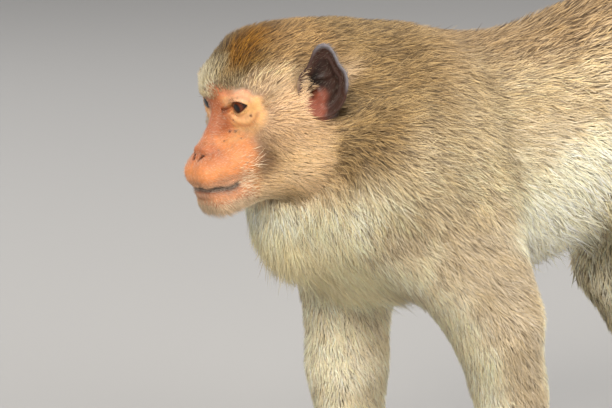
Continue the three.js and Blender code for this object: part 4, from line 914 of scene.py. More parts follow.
def coat_colour(P, N):
    """Mean colour of the coat at skin points P, and how far it's flecked with dark (0 to 1)."""
    n = len(P)
    x, y, z = P.T
    f, l, u = head_space(P).T
    a = np.abs(l)
    w1, w2 = noise(P, 26, 11), noise(P, 9, 12)
    # trunk: golden brown on the back, paler down the sides, near white under the belly
    st = stations(y)
    side = (z - (st[:, 0] + st[:, 1]) / 2) / ((st[:, 0] - st[:, 1]) / 2)
    h = side + 0.14 * w1 + 0.08 * w2
    col = blend(np.tile(C["back"], (n, 1)), C["flank"], smooth((0.98 - h) / 0.42))
    col = blend(col, C["white"], smooth((0.34 - h) / 0.55) * smooth((y - 40) / 60) + smooth((0.15 - h) / 0.5) * (1 - smooth((y - 40) / 60)))
    fleck = 0.30 + 0.55 * smooth((h - 0.15) / 0.7)
    # nape and withers
    nape = smooth((70 - y) / 60) * smooth((h - 0.05 + 0.32 * smooth((8 - y) / 24) * smooth((x - 20) / 16)) / 0.5)
    col = blend(col, C["nape"], nape)
    fleck = np.maximum(fleck, nape * 0.95)
    # shoulders and arms
    for S, E, W in ((SL, EL, WL), (SR, ER, WR)):
        s = np.sign(S[0])
        reach = smooth((s * x - 20) / 14) * smooth((z - 20) / 20) * smooth((E[1] + 20 + 40 * smooth((212 - z) / 25) + 7 * w2 - y) / 34)
        down = (S[2] + 26 - z) / (S[2] + 26 - E[2])
        on_arm = reach * smooth((down + 0.25 + 0.1 * w2) / 0.5)
        armc = blend(np.tile(C["shoulder"], (n, 1)), C["arm"], smooth((down - 0.05 + 0.15 * w1) / 0.5))
        front = smooth((-N[:, 1] - 0.25 + 0.15 * w2) / 0.5)
        armc = blend(armc, C["arm_edge"], front * smooth((down - 0.02) / 0.3) * 0.9 + 0.8 * smooth((N[:, 1] - 0.35) / 0.45) * smooth((down - 0.5) / 0.4))
        inner = smooth((-s * N[:, 0] - 0.1) / 0.5)
        armc = blend(armc, C["arm_edge"], inner * smooth((down - 0.3) / 0.3) * 0.8)
        on_arm *= 1 - nape * smooth((14 - y) / 26)
        col = blend(col, armc, on_arm)
        fleck = fleck * (1 - on_arm) + on_arm * (0.72 - 0.45 * smooth((down - 0.1) / 0.7)) * (1 - 0.6 * inner)
    # hind legs
    for Pv, K, A in ((PL, KL, AL), (PR, KR, AR)):
        s = np.sign(Pv[0])
        on = smooth((s * x - 12) / 10) * smooth((y - (K[1] - 60)) / 25) * smooth((300 - z + 0.25 * (y - K[1])) / 60)
        inner = smooth((-s * N[:, 0] - 0.05) / 0.5)
        legc = blend(np.tile(C["leg"], (n, 1)), C["white"], inner * 0.8)
        legc = blend(legc, C["arm_edge"], smooth((-N[:, 1] - 0.3) / 0.5) * 0.5)
        col = blend(col, legc, on)
        fleck = fleck * (1 - on) + on * (0.45 * (1 - inner))
    # throat and chest
    throat = smooth((18 - y) / 30) * smooth((262 + 0.4 * y - z + 7 * w1) / 30) * smooth((60 - np.abs(x - 2)) / 26)
    throat *= smooth((z - 150) / 20)
    throat = throat * smooth((-N[:, 1] - 0.9 * N[:, 2] + 0.55 - 0.35 * np.abs(N[:, 0])) / 0.5)
    col = blend(col, C["cream"], throat)
    fleck *= 1 - throat
    # head
    hd = smooth((f + 42 - (32 + 7 * w2 + 4 * w1) * smooth((4 - u) / 14) + 0.12 * u) / 27) * smooth((u + 70) / 24) * (y < 30)
    crown = blend(np.tile(C["crown"], (n, 1)), C["nape"], smooth((-12 - f) / 22))
    headc = crown
    lowc = smooth((13 - u + 0.16 * (f - 20) + 4 * w2) / 15)
    headc = blend(headc, C["side"], smooth((24 - u + 0.3 * (f - 10)) / 14) * smooth((a - 15) / 8))
    headc = blend(headc, C["cheek"], lowc * smooth((a - 8) / 8))
    headc = blend(headc, C["jaw"], smooth((-18 - u + 3 * w2) / 12))
    headc = blend(headc, C["front"], smooth((f - 14) / 16) * smooth((u - 13) / 7) * smooth((27 - a) / 8) * 0.9)
    streak = bump01(l, 4.5 + 0.15 * f + 2.5 * w2, 8.0) * bump01(f, 27.0, 19) * smooth((u - 16) / 8)
    headc = blend(headc, C["streak"], np.clip(1.15 * streak, 0, 0.95))
    headc = blend(headc, C["crest"], 0.7 * bump01(f, 11 + 3 * w2, 8) * bump01(l, 1.5, 9) * smooth((u - 22) / 6))
    brow = bump01(u - 0.05 * a, 17.5, 7) * smooth((f - 36) / 6) * (1 - 0.75 * smooth((l - 3) / 7))
    headc = blend(headc, C["brow"], brow * 0.92)
    patch = bump01(f, 45.0, 8.0) * bump01(u, -28, 11) * smooth((a - 18) / 6)
    headc = blend(headc, C["patch"], 0.9 * patch)
    headc = blend(headc, C["lip_hair"], smooth((f - 50) / 8) * smooth((-26 - u) / 10))
    hf_fleck = (0.85 * smooth((u - 8) / 14) + 0.20) * (1 - brow) + 0.35 * streak + 0.5 * patch
    col = blend(col, headc, hd)
    fleck = fleck * (1 - hd) + hd * hf_fleck
    # tail
    k = np.clip(((y[:, None] - TAIL[None, ::4, 1]) ** 2 + (z[:, None] - TAIL[None, ::4, 2]) ** 2 + (x[:, None] - TAIL[None, ::4, 0]) ** 2), 0, None)
    dt = np.sqrt(k.min(1))
    on = smooth((42 - dt) / 20) * smooth((y - 330) / 44)
    tc = blend(np.tile(C["tail"], (n, 1)), C["tail_low"], smooth((-N[:, 2] + 0.1) / 0.8))
    col = blend(col, tc, on)
    fleck = fleck * (1 - on) + on * 0.6
    # hands and feet
    on = smooth((36 - z) / 16)
    col = blend(col, C["hand"], on * 0.8)
    fleck = fleck * (1 - on * 0.6)
    return col, np.clip(fleck, 0, 1)


SK = {k: lin(v) for k, v in dict(
    body=(0.72, 0.58, 0.48), muzzle=(0.80, 0.51, 0.30), bridge=(0.60, 0.33, 0.21), lid=(0.88, 0.68, 0.54), under=(0.88, 0.68, 0.44), lip=(0.20, 0.15, 0.14),
    lip_soft=(0.74, 0.43, 0.31), nostril=(0.25, 0.10, 0.07), mole=(0.28, 0.15, 0.10), chin=(0.62, 0.34, 0.21), ear=(0.23, 0.135, 0.10), ear_rim=(0.40, 0.38, 0.39),
    ear_hollow_shade=(0.08, 0.04, 0.03), ear_pink=(0.56, 0.29, 0.20), hand=(0.42, 0.34, 0.30), palm=(0.33, 0.26, 0.23), seat=(0.66, 0.50, 0.44), rose=(0.86, 0.50, 0.37), lid_edge=(0.32, 0.18, 0.13)).items()}
MOLES = [(229, 131, 1.3), (235, 131, 1.4), (251, 116, 1.2), (233, 120, 0.9), (247, 163, 0.9), (224, 141, 0.9), (218, 150, 0.8), (241, 138, 0.9)]


def skin_colour(P, N):
    n = len(P)
    z = P[:, 2]
    f, l, u = head_space(P).T
    a = np.abs(l)
    w1, w2, w3 = noise(P, 14, 21), noise(P, 5, 22), noise(P, 2.2, 23)
    coat, _ = coat_colour(P, N)
    col = coat * 0.45 + SK["body"] * 0.25  # the skin under the coat carries its markings
    face = smooth((f - 22) / 8) * smooth((u + 78) / 6) * (P[:, 1] < 0)
    fc = np.tile(SK["muzzle"], (n, 1))
    fc = blend(fc, SK["bridge"], smooth((u + 17 + 3 * w1) / 12) * smooth((12 - a) / 7) * 0.8)
    fc = blend(fc, SK["under"], smooth((u + 17 + 2 * w2) / 8) * smooth((a - 7) / 6) * 0.9)
    fc = blend(fc, SK["bridge"], bump01(u, -17.5, 7) * smooth((f - 58) / 8) * 0.75)
    fc = blend(fc, SK["rose"], smooth((u - 9 - 2 * w1) / 5) * smooth((a - 5) / 6) * 0.75 + smooth((30 - f + 12 * w2) / 8) * 0.3)
    qa = np.stack([f, a, u], 1)
    w = (qa - np.array(EYE)) / EYE_R
    r = np.linalg.norm(w, axis=1) * EYE_R
    up = w[:, 2] * EYE_R
    fc = blend(fc, SK["lid"], smooth((15.5 - r) / 4) * smooth((up - 1.5 + w2) / 3) * 0.8)
    fc = blend(fc, SK["lid"], smooth((15 - r) / 4) * smooth((-up - 3) / 2) * 0.35)
    # a dark line painted along the fold under the eye: painted shade in the crease
    fc = blend(fc, SK["bridge"], bump01(r, 14.5, 1.1) * smooth((-up - 2) / 3) * 0.5)
    fc = blend(fc, C["patch"], bump01(f, 45.5, 6.0) * bump01(u, -27, 10) * smooth((a - 18) / 6) * 0.55)
    mh = mouth_height(f, l)
    fc = blend(fc, SK["chin"], smooth((mh - 6 - u) / 6) * 0.6)
    fc = blend(fc, SK["lip_soft"], bump01(u, mh - 2.2, 2.2) * smooth((f - 58) / 5) * 0.5)
    fc *= (1 + 0.05 * w1 + 0.05 * w2 + 0.03 * w3)[:, None]
    lips = bump01(u, mh - 0.2, 2.1) * smooth((f - 59) / 3)
    fc = blend(fc, SK["lip"], np.clip(lips * 1.25, 0, 0.92))
    # the nostril holes and a thin edge round them are painted dark: painted shade inside the nostrils
    nost = np.minimum(1, np.exp(-np.minimum(capsule(qa, NOSE_A, NOSE_B, 1.0, 1.2), capsule(qa, NOSE_B, NOSE_C, 1.2, 0.9)) / 0.9))
    fc = blend(fc, SK["nostril"], np.clip(nost, 0, 1) ** 2)
    slit_edge = smooth((11.0 - r) / 1.1) * (w[:, 0] > 0.2)
    along = np.arctan2(w[:, 1] - 0.10, np.maximum(w[:, 0], 0.05))
    high = np.arctan2(w[:, 2] + 0.02 - 0.16 * along, np.maximum(w[:, 0], 0.05))
    ax = np.clip(along / EYE_LONG, -1, 1)
    top, low = EYE_TOP * (1 - np.abs(ax) ** 2.4) ** 0.8, -EYE_LOW * (1 - np.abs(ax) ** 2.0) ** 0.8
    slit = np.maximum(np.maximum(high - top, low - high), np.abs(along) - EYE_LONG) * 9.6
    fc = blend(fc, SK["lid_edge"], slit_edge * bump01(slit, -0.1, 0.75) * 0.85)
    q = (P - pupil) @ np.array([RIGHT, UP]).T / MM_PX + V(236.6, -107.8)
    for mx, my, mr in MOLES:  # small dark moles on the left cheek
        d = np.hypot(q[:, 0] - mx, q[:, 1] + my)
        fc = blend(fc, SK["mole"], smooth((mr * 1.5 - d) / 0.9) * (l > 0) * 0.85)
    bare = bare_face(P)
    col = blend(col, fc, np.maximum(bare, face * smooth((f - 44) / 8)))
    # ears
    ec = np.zeros(n)
    for side in (1, -1):
        s, t, k = ear_space(P, side)
        R = ear_edge(np.arctan2(t, s))
        rr = np.hypot(s, t) / R
        on = smooth((1.25 - rr) / 0.08) * (np.abs(k) < 16) * smooth((s + 16.5) / 2.5)
        # the bowl by the canal and a ring just inside the inner ridge are painted near-black: painted shade in the
        # ear's hollows
        e = blend(np.tile(SK["ear"], (n, 1)), SK["ear_hollow_shade"], bump01(s, -5, 6) * bump01(t, -3, 9) * (k < 3) + 0.5 * bump01(rr, 0.55, 0.12))
        e = blend(e, SK["ear_rim"], smooth((rr - 0.86) / 0.10) * smooth((t + 6) / 8) * smooth((s + 9) / 5))
        e = blend(e, SK["ear_pink"], np.clip(smooth((-3 - t + 2 * w2) / 6) * smooth((5 - s + 2 * w2) / 7), 0, 0.75) * smooth((s + 13.5) / 2.5))
        e *= (1 + 0.12 * w2 + 0.08 * w3)[:, None]
        col = blend(col, e, on)
    hands = smooth((40 - z) / 12)
    hc = blend(np.tile(SK["hand"], (n, 1)), SK["palm"], smooth((-N[:, 2] + 0.2) / 0.5))
    hc *= (1 + 0.10 * w1 + 0.10 * w2)[:, None]
    col = blend(col, hc, hands)
    for side in (1, -1):
        d = np.linalg.norm((P - V(side * 21, 352, 268)) / V(15, 32, 18), axis=1)
        col = blend(col, SK["seat"] * (1 + 0.1 * w2)[:, None], smooth((1.05 - d) / 0.15))
    return np.clip(col, 0.002, 0.98)


def set_colour(o, name, rgb):
    at = o.data.color_attributes.new(name=name, type="FLOAT_COLOR", domain="POINT")
    at.data.foreach_set("color", np.concatenate([rgb, np.ones((len(rgb), 1))], 1).astype(np.float32).ravel())


# ------------------------------------------------------------------ skin
skin_obj = make_mesh("skin", SKIN_POS, SKIN_TRI)
p0 = SKIN_POS
q = head_space(p0)
keep = 0.05 + 0.95 * np.maximum(smooth((q[:, 0] - 16) / 14) * smooth((q[:, 2] + 74) / 8) * smooth((26 - q[:, 2]) / 8) * (p0[:, 1] < 20),
                                np.maximum(ear_cover(p0), 0.45 * smooth((34 - p0[:, 2]) / 10)))
vg = skin_obj.vertex_groups.new(name="keep")
for level in range(8):
    sel = np.nonzero(np.round(keep * 7).astype(int) == level)[0]
    if len(sel):
        vg.add(sel.tolist(), level / 7, "REPLACE")
dec = skin_obj.modifiers.new("fewer", "DECIMATE")
dec.ratio = 186000 / len(SKIN_TRI)
dec.vertex_group, dec.invert_vertex_group, dec.vertex_group_factor = "keep", True, 4.0
apply_modifiers(skin_obj)
skin_obj.vertex_groups.clear()
me = skin_obj.data
co = np.empty(len(me.vertices) * 3, np.float32)
me.vertices.foreach_get("co", co)
sp = co.reshape(-1, 3).astype(float) * 1000 - SHIFT
nv = np.empty(len(me.vertices) * 3, np.float32)
me.vertices.foreach_get("normal", nv)
said(f"skin kept at {len(me.polygons)} triangles; {int((head_space(sp)[:, 0] > 30).sum())} points forward of the temples")
set_colour(skin_obj, "tint", skin_colour(sp, nv.reshape(-1, 3).astype(float)))
me.shade_smooth()


def attribute(nt, name):
    n = nt.nodes.new("ShaderNodeAttribute")
    n.attribute_name = name
    return n


def math_node(nt, op, a, b=None):
    n = nt.nodes.new("ShaderNodeMath")
    n.operation = op
    for i, v in enumerate((a, b)):
        if v is None:
            continue
        if isinstance(v, (int, float)):
            n.inputs[i].default_value = v
        else:
            nt.links.new(v, n.inputs[i])
    return n.outputs[0]


def multiply_colour(nt, a, b):
    n = nt.nodes.new("ShaderNodeMix")
    n.data_type, n.blend_type = "RGBA", "MULTIPLY"
    n.inputs["Factor"].default_value = 1.0
    nt.links.new(a, n.inputs["A"])
    nt.links.new(b, n.inputs["B"])
    return n.outputs["Result"]


def object_noise(nt, scale, detail=2.0, rough=0.5):
    tc = nt.nodes.new("ShaderNodeTexCoord")
    t = nt.nodes.new("ShaderNodeTexNoise")
    t.inputs["Scale"].default_value, t.inputs["Detail"].default_value, t.inputs["Roughness"].default_value = scale, detail, rough
    nt.links.new(tc.outputs["Object"], t.inputs["Vector"])
    return t.outputs["Fac"]


def grey_ramp(nt, fac, lo, hi, a=0.3, b=0.7):
    r = nt.nodes.new("ShaderNodeMapRange")
    nt.links.new(fac, r.inputs["Value"])
    r.inputs["From Min"].default_value, r.inputs["From Max"].default_value = a, b
    r.inputs["To Min"].default_value, r.inputs["To Max"].default_value = lo, hi
    return r.outputs["Result"]


def set_fixed(bsdf, **kw):
    for k, v in kw.items():
        bsdf.inputs[k.replace("_", " ")].default_value = v


skin_mat, nt, bsdf = new_material("macaque_skin")
mott = grey_ramp(nt, object_noise(nt, 420, 4, 0.6), 0.86, 1.12)
nt.links.new(multiply_colour(nt, attribute(nt, "tint").outputs["Color"], mott), bsdf.inputs["Base Color"])
nt.links.new(grey_ramp(nt, object_noise(nt, 260, 3), 0.46, 0.66), bsdf.inputs["Roughness"])
vor = nt.nodes.new("ShaderNodeTexVoronoi")
vor.feature = "DISTANCE_TO_EDGE"
vor.inputs["Scale"].default_value = 1150
tc = nt.nodes.new("ShaderNodeTexCoord")
nt.links.new(tc.outputs["Object"], vor.inputs["Vector"])
height = math_node(nt, "ADD", math_node(nt, "MINIMUM", vor.outputs["Distance"], 0.12), math_node(nt, "MULTIPLY", object_noise(nt, 700, 3, 0.6), 0.35))
bump = nt.nodes.new("ShaderNodeBump")
bump.inputs["Strength"].default_value, bump.inputs["Distance"].default_value = 0.38, 0.0007
nt.links.new(height, bump.inputs["Height"])
nt.links.new(bump.outputs["Normal"], bsdf.inputs["Normal"])
set_fixed(bsdf, Subsurface_Weight=0.12, Subsurface_Scale=0.004)
bsdf.inputs["Subsurface Radius"].default_value = (1.0, 0.35, 0.2)
bsdf.inputs["Specular IOR Level"].default_value = 0.35
skin_obj.data.materials.clear()
skin_obj.data.materials.append(skin_mat)

# ------------------------------------------------------------------ eyes


def eye(name, centre, gaze):
    """Eyeball with a bulged cornea; the iris and pupil are markings on it, seen through a clear coat."""
    gaze = unit(gaze)
    side = unit(np.cross(V(0, 0, 1), gaze))
    up = np.cross(gaze, side)
    rings, seg = np.concatenate([np.linspace(0, rad(62), 46)[1:], np.linspace(rad(62), math.pi, 16)[1:-1]]), 64
    pts, ang = [V(0, 0, 0)], [0.0]
    for t in rings:
        for k in range(seg):
            p = 2 * math.pi * k / seg
            pts.append(V(math.sin(t) * math.cos(p), math.sin(t) * math.sin(p), math.cos(t)))
            ang.append(t)
    pts[0] = V(0, 0, 1.0)
    pts.append(V(0, 0, -1.0))
    ang.append(math.pi)
    pts, ang = np.array(pts), np.array(ang)
    r = 8.92 + 0.75 * smooth((rad(40) - ang) / rad(26))
    P = centre + (pts[:, :1] * side + pts[:, 1:2] * up + pts[:, 2:] * gaze) * r[:, None]
    faces = []
    for k in range(seg):
        faces.append((0, 1 + k, 1 + (k + 1) % seg))
    nr = len(rings)
    for i in range(nr - 1):
        a, b = 1 + i * seg, 1 + (i + 1) * seg
        for k in range(seg):
            k2 = (k + 1) % seg
            faces += [(a + k, b + k, b + k2), (a + k, b + k2, a + k2)]
    last, a = len(pts) - 1, 1 + (nr - 1) * seg
    faces += [(a + k, last, a + (k + 1) % seg) for k in range(seg)]
    o = make_mesh(name, P, np.array(faces))
    d = np.sin(ang) * 8.95
    phi = np.arctan2(pts[:, 1], pts[:, 0])
    rays = 0.5 + 0.5 * np.sin(phi * 31 + 2 * np.sin(phi * 7)) * np.sin(phi * 17 + 1.3)
    iris = lin((0.25, 0.095, 0.04))[None] * (0.75 + 0.5 * rays)[:, None]
    iris = blend(iris, lin((0.42, 0.19, 0.06)), bump01(d, 3.7, 0.6) * 0.5)
    iris = blend(iris, lin((0.13, 0.05, 0.03)), smooth((d - 4.7) / 0.9))
    col = blend(iris, lin((0.012, 0.008, 0.008)), smooth((2.85 - d) / 0.35))
    sclera = blend(np.tile(lin((0.16, 0.08, 0.05)), (len(P), 1)), lin((0.36, 0.22, 0.16)), smooth((d - 7.4) / 1.5))
    col = blend(col, sclera, smooth((d - 5.75) / 0.5) + (ang > 1.2))
    set_colour(o, "tint", np.clip(col, 0.001, 1))
    return o


eye_mat, nt, bsdf = new_material("macaque_eye")
fleck_n = grey_ramp(nt, object_noise(nt, 1600, 3), 0.8, 1.2)
nt.links.new(multiply_colour(nt, attribute(nt, "tint").outputs["Color"], fleck_n), bsdf.inputs["Base Color"])
set_fixed(bsdf, Roughness=0.28, Coat_Weight=0.85, Coat_Roughness=0.02)
bsdf.inputs["Coat IOR"].default_value = 1.34
bsdf.inputs["Specular IOR Level"].default_value = 0.15
eyes = []
for tag, c, s in (("left", EYES[0], 1), ("right", EYES[1], -1)):
    o = eye(f"{tag}_eyeball", c, HDIR(1, 0.10 * s, 0.0) + V(0, 0, -0.02))
    o.data.materials.append(eye_mat)
    eyes.append((tag, o))

# ------------------------------------------------------------------ nails


def nail_points(b, c, r, deg):
    """A curved plate on the top of a finger or toe, slightly past its end."""
    along = unit(V(*(c - b)[:2], (c - b)[2] * 0.5))
    side = unit(np.cross(along, V(0, 0, 1)))
    up = np.cross(side, along)
    nu, nv, P, F = 9, 7, [], []
    for layer, th in ((0, 0.75), (1, 0.1)):
        for j in range(nv):
            v = j / (nv - 1)
            for i in range(nu):
                u = i / (nu - 1) * 2 - 1
                w = rad(58) * (1 - 0.25 * (1 - v) ** 3) * (1 - 0.35 * smooth((v - 0.75) / 0.25) * u * u)
                ang = u * w
                rr = r + th + 0.35 * v * (1 - v)
                P.append(c + along * (-r * 0.9 + v * r * 2.15 * (1 - 0.14 * u * u * v)) + (side * math.sin(ang) + up * math.cos(ang) * (1 - 0.22 * v)) * rr * (1 - 0.10 * v))
    n = nu * nv
    ix = lambda l, j, i: l * n + j * nu + i
    for j in range(nv - 1):
        for i in range(nu - 1):
            F.append((ix(0, j, i), ix(0, j, i + 1), ix(0, j + 1, i + 1), ix(0, j + 1, i)))
            F.append((ix(1, j, i), ix(1, j + 1, i), ix(1, j + 1, i + 1), ix(1, j, i + 1)))
    for j in range(nv - 1):
        F.append((ix(0, j, 0), ix(0, j + 1, 0), ix(1, j + 1, 0), ix(1, j, 0)))
        F.append((ix(0, j, nu - 1), ix(1, j, nu - 1), ix(1, j + 1, nu - 1), ix(0, j + 1, nu - 1)))
    for i in range(nu - 1):
        F.append((ix(0, 0, i), ix(1, 0, i), ix(1, 0, i + 1), ix(0, 0, i + 1)))
        F.append((ix(0, nv - 1, i), ix(0, nv - 1, i + 1), ix(1, nv - 1, i + 1), ix(1, nv - 1, i)))
    return np.array(P), np.array(F)


NP, NF, off = [], [], 0
for b, c, r, deg in DIGITS:
    P, F = nail_points(b, c, r, deg)
    P[:, 2] = np.maximum(P[:, 2], 0.15)  # none dips into the floor
    NP.append(P)
    NF.append(F + off)
    off += len(P)
nails = make_mesh("nails", np.concatenate(NP), np.concatenate(NF))
nail_mat, nt, bsdf = new_material("macaque_nail")
ramp = nt.nodes.new("ShaderNodeValToRGB")
ramp.color_ramp.elements[0].color = (*lin((0.16, 0.12, 0.10)), 1)
ramp.color_ramp.elements[1].color = (*lin((0.34, 0.28, 0.24)), 1)
nt.links.new(object_noise(nt, 500, 3), ramp.inputs["Fac"])
nt.links.new(ramp.outputs["Color"], bsdf.inputs["Base Color"])
nt.links.new(grey_ramp(nt, object_noise(nt, 900, 2), 0.28, 0.42), bsdf.inputs["Roughness"])
nails.data.materials.append(nail_mat)
said("skin, eyes and nails done")

# ------------------------------------------------------------------ coat


def near_arm(P):  # 1 on the front of the body, where the coat is finest
    return smooth((170 - P[:, 1]) / 150)


def fineness(P):
    """Tufts per square millimetre of skin."""
    front = near_arm(P)
    near = smooth((P[:, 0] + 25) / 50)
    d = 0.42 + front * (0.55 + 0.55 * near)
    q = head_space(P)
    on_head = smooth((q[:, 0] + 46) / 20) * smooth((q[:, 2] + 66) / 14) * (P[:, 1] < 40)
    d = d * (1 - on_head) + on_head * 1.75
    k = smooth((60 - P[:, 2]) / 25)
    return d * (1 - k) + k * 0.9


def z_order(P, cell=5.0):
    k = np.floor((P - P.min(0)) / cell).astype(np.int64)
    out = np.zeros(len(P), np.int64)
    for b in range(9):
        for a in range(3):
            out |= ((k[:, a] >> b) & 1) << (3 * b + a)
    return np.argsort(out, kind="stable")


TRI_P = SKIN_POS[SKIN_TRI]
TRI_C = TRI_P.mean(1)
TRI_X = np.cross(TRI_P[:, 1] - TRI_P[:, 0], TRI_P[:, 2] - TRI_P[:, 0])
TRI_A = np.linalg.norm(TRI_X, axis=1) / 2
TRI_N = TRI_X / np.maximum(TRI_A * 2, 1e-9)[:, None]
order = z_order(TRI_C)
TRI_P, TRI_C, TRI_A, TRI_N = TRI_P[order], TRI_C[order], TRI_A[order], TRI_N[order]


def scatter(weight, count, pick=None):
    """Points spread evenly by weight per area over the skin's triangles."""
    w = TRI_A * weight if pick is None else TRI_A[pick] * weight
    cum = np.cumsum(w)
    k = np.searchsorted(cum, (np.arange(count) + RNG.random(count)) / count * cum[-1])
    k = np.minimum(k, len(w) - 1)
    k = k if pick is None else np.nonzero(pick)[0][k]
    a, b = RNG.random(count), RNG.random(count)
    flip = a + b > 1
    a, b = np.where(flip, 1 - a, a), np.where(flip, 1 - b, b)
    t = TRI_P[k]
    return t[:, 0] + a[:, None] * (t[:, 1] - t[:, 0]) + b[:, None] * (t[:, 2] - t[:, 0]), TRI_N[k]


row = lambda a: a[:, None]
normed = lambda a: a / np.maximum(np.linalg.norm(a, axis=1), 1e-9)[:, None]
FACES = np.array([(0, 1, 2), (0, 2, 3), (0, 3, 1), (4, 2, 1), (4, 3, 2), (4, 1, 3)])


def spears(P, N, T, length, lift1, lift2, width, turn, share=0.42):
    """Closed five-point tufts: root, a three-cornered middle and a tip."""
    side = normed(np.cross(T, N))
    d1 = T * row(np.cos(lift1)) + N * row(np.sin(lift1))
    d2 = T * row(np.cos(lift2)) + N * row(np.sin(lift2)) + side * row(turn)
    d2 = normed(d2)
    root = P - N * 0.7
    mid = P + d1 * row(length * share)
    tip = mid + d2 * row(length * (1 - share))
    return root, mid, tip, side


def tuft_mesh(root, mid, tip, N, width, roll):
    along = normed(tip - root)
    side = normed(np.cross(along, N))
    up = np.cross(side, along)
    c, s = row(np.cos(roll)), row(np.sin(roll))
    a, b = side * c + up * s, up * c - side * s
    out = np.empty((len(root), 5, 3))
    out[:, 0], out[:, 4] = root, tip
    out[:, 1] = mid + a * row(width * 0.5) - b * row(width * 0.16)
    out[:, 2] = mid + b * row(width * 0.34)
    out[:, 3] = mid - a * row(width * 0.5) - b * row(width * 0.16)
    return out


PIECES = {}  # name -> list of (verts n5x3, colours n5x3, roots n3)


def keep_tufts(name, verts, cols, roots, nrm):
    PIECES.setdefault(name, []).append((verts, cols, roots, nrm))


def settle(P, N, mid, tip, D, u):
    """Bring the tips to the coat's outside, and the middles over the skin."""
    f = G.at(tip)[:, 0]
    n = G.normal(tip)
    tip = tip + n * row(np.clip(D * u - f, -8, 6))
    f = G.at(mid)[:, 0]
    n = G.normal(mid)
    mid = mid + n * row(np.clip(D * u * 0.66 - f, -3, 5))
    return mid, tip


def clump(P, scale, seed):
    """A tangent-free pull of the tips together, from the slope of a noise."""
    e = 0.6
    base = noise(P, scale, seed)
    return np.stack([noise(P + d, scale, seed) - base for d in np.eye(3) * e], 1) / e * scale


# main coat
n_tufts = 232000
bare = naked(TRI_C, TRI_N)
ears_w = ear_cover(TRI_C)
weight = fineness(TRI_C) * np.clip(1 - bare, 0, 1) ** 1.5 * (1 - ears_w)
P, meshN = scatter(weight, n_tufts)
g = G.at(P)
N = G.normal(P)
N = normed(N + 0.35 * meshN)
D, lie = g[:, 1].astype(float), g[:, 2:5].astype(float)
group = G.group(P)
dens = fineness(P) * (n_tufts / 232000)
f, l, u = head_space(P).T
a = np.abs(l)
on_head = smooth((f + 30) / 20) * smooth((u + 62) / 14) * (P[:, 1] < 24)
# the hairs over the brow stand up and forward in a fringe, those of the cheek sweep back
fringe = bump01(u, 18.5, 9) * smooth((f - 32) / 8)
D = D + 1.2 * fringe
lie = lie + row(fringe) * (HF * 0.55 + HU * 0.25)
T = lie - N * row((lie * N).sum(1))
T = np.where(row(np.linalg.norm(T, axis=1)) < 0.15, np.cross(N, V(1, 0, 0)) * np.sign(row(np.cross(N, V(1, 0, 0))[:, 1]) + 1e-9), T)
T = normed(T)
swirl = rad(14) * noise(P, 22, 31) + rad(19) * noise(P, 6, 32) + rad(12) * RNG.standard_normal(n_tufts)
swirl *= 1 - 0.35 * on_head
T = T * row(np.cos(swirl)) + np.cross(N, T) * row(np.sin(swirl))
rough_part = 1 - 0.5 * smooth((200 - P[:, 2]) / 60)
lift1 = rad(44) + rad(8) * noise(P, 8, 33) + rad(7) * RNG.standard_normal(n_tufts) + rad(18) * fringe + rad(6) * rough_part
lift2 = rad(15) + rad(10) * noise(P, 6, 34) + rad(10) * RNG.standard_normal(n_tufts) + rad(28) * fringe + rad(12) * rough_part
size = 1 + 0.14 * noise(P, 9, 35) + 0.13 * RNG.standard_normal(n_tufts)
edge = naked(P, meshN)
length = np.clip(D * (2.15 - 0.42 * rough_part), 3.0, 44) * np.clip(size, 0.6, 1.45) * (1 - 0.62 * np.clip(edge, 0, 1))
length = np.where(on_head > 0.5, np.minimum(length, 17), length)
width = np.clip(0.60 / np.sqrt(dens), 0.4, 2.2) * (0.8 + 0.4 * RNG.random(n_tufts)) * np.clip(length / 12, 0.3, 1.15)
width = np.minimum(width, 0.075 * length + 0.08)
turn = rad(8) * RNG.standard_normal(n_tufts) + rad(10) * noise(P, 10, 36)
root, mid, tip, side = spears(P, N, T, length, lift1, lift2, width, turn)
tip += clump(P, 5.5, 41) * row(np.minimum(length * 0.055, 1.3)) + clump(P, 13, 42) * row(np.minimum(length * 0.06, 1.6))
reach = np.clip(0.94 + 0.10 * noise(P, 7, 37) + 0.09 * RNG.standard_normal(n_tufts), 0.5, 1.04) * (1 - 0.5 * np.clip(edge, 0, 1))
mid, tip = settle(P, N, mid, tip, D, reach)
tufts = tuft_mesh(root, mid, tip, N, width, rad(35) * RNG.standard_normal(n_tufts))
tufts[:, :, 2] = np.maximum(tufts[:, :, 2], 0.25)

col, fleck = coat_colour(P, N)
tick = RNG.standard_normal(n_tufts)
tone = 1 + 0.09 * noise(P, 6, 51) + 0.07 * noise(P, 18, 52) + (0.08 + 0.24 * fleck) * tick
col = np.clip(col * row(np.clip(tone, 0.45, 1.6)) ** V(0.9, 1.0, 1.15), 0, 0.97)
warm = RNG.standard_normal(n_tufts) * 0.04 + 0.03 * noise(P, 11, 53)
col = np.clip(col * (1 + row(warm) * V(0.6, 0.0, -1.6)), 0, 0.97)
dark = RNG.random(n_tufts) < fleck * (0.42 + 0.2 * noise(P, 8, 54)) - 0.12 * tick * fleck
tip_dark = col * V(0.26, 0.23, 0.22)
tip_light = np.clip(col * (1.05 + row(fleck) * V(0.62, 0.58, 0.34)) + 0.01, 0, 0.97)
tipc = np.where(row(dark), tip_dark, tip_light)
midc = col * (1 - row(fleck) * V(0.24, 0.26, 0.30))
midc = np.where(row(dark), midc * 0.8, midc)
rootc = col * V(0.62, 0.60, 0.58)
cols = np.stack([rootc, midc, midc, midc, tipc], 1)

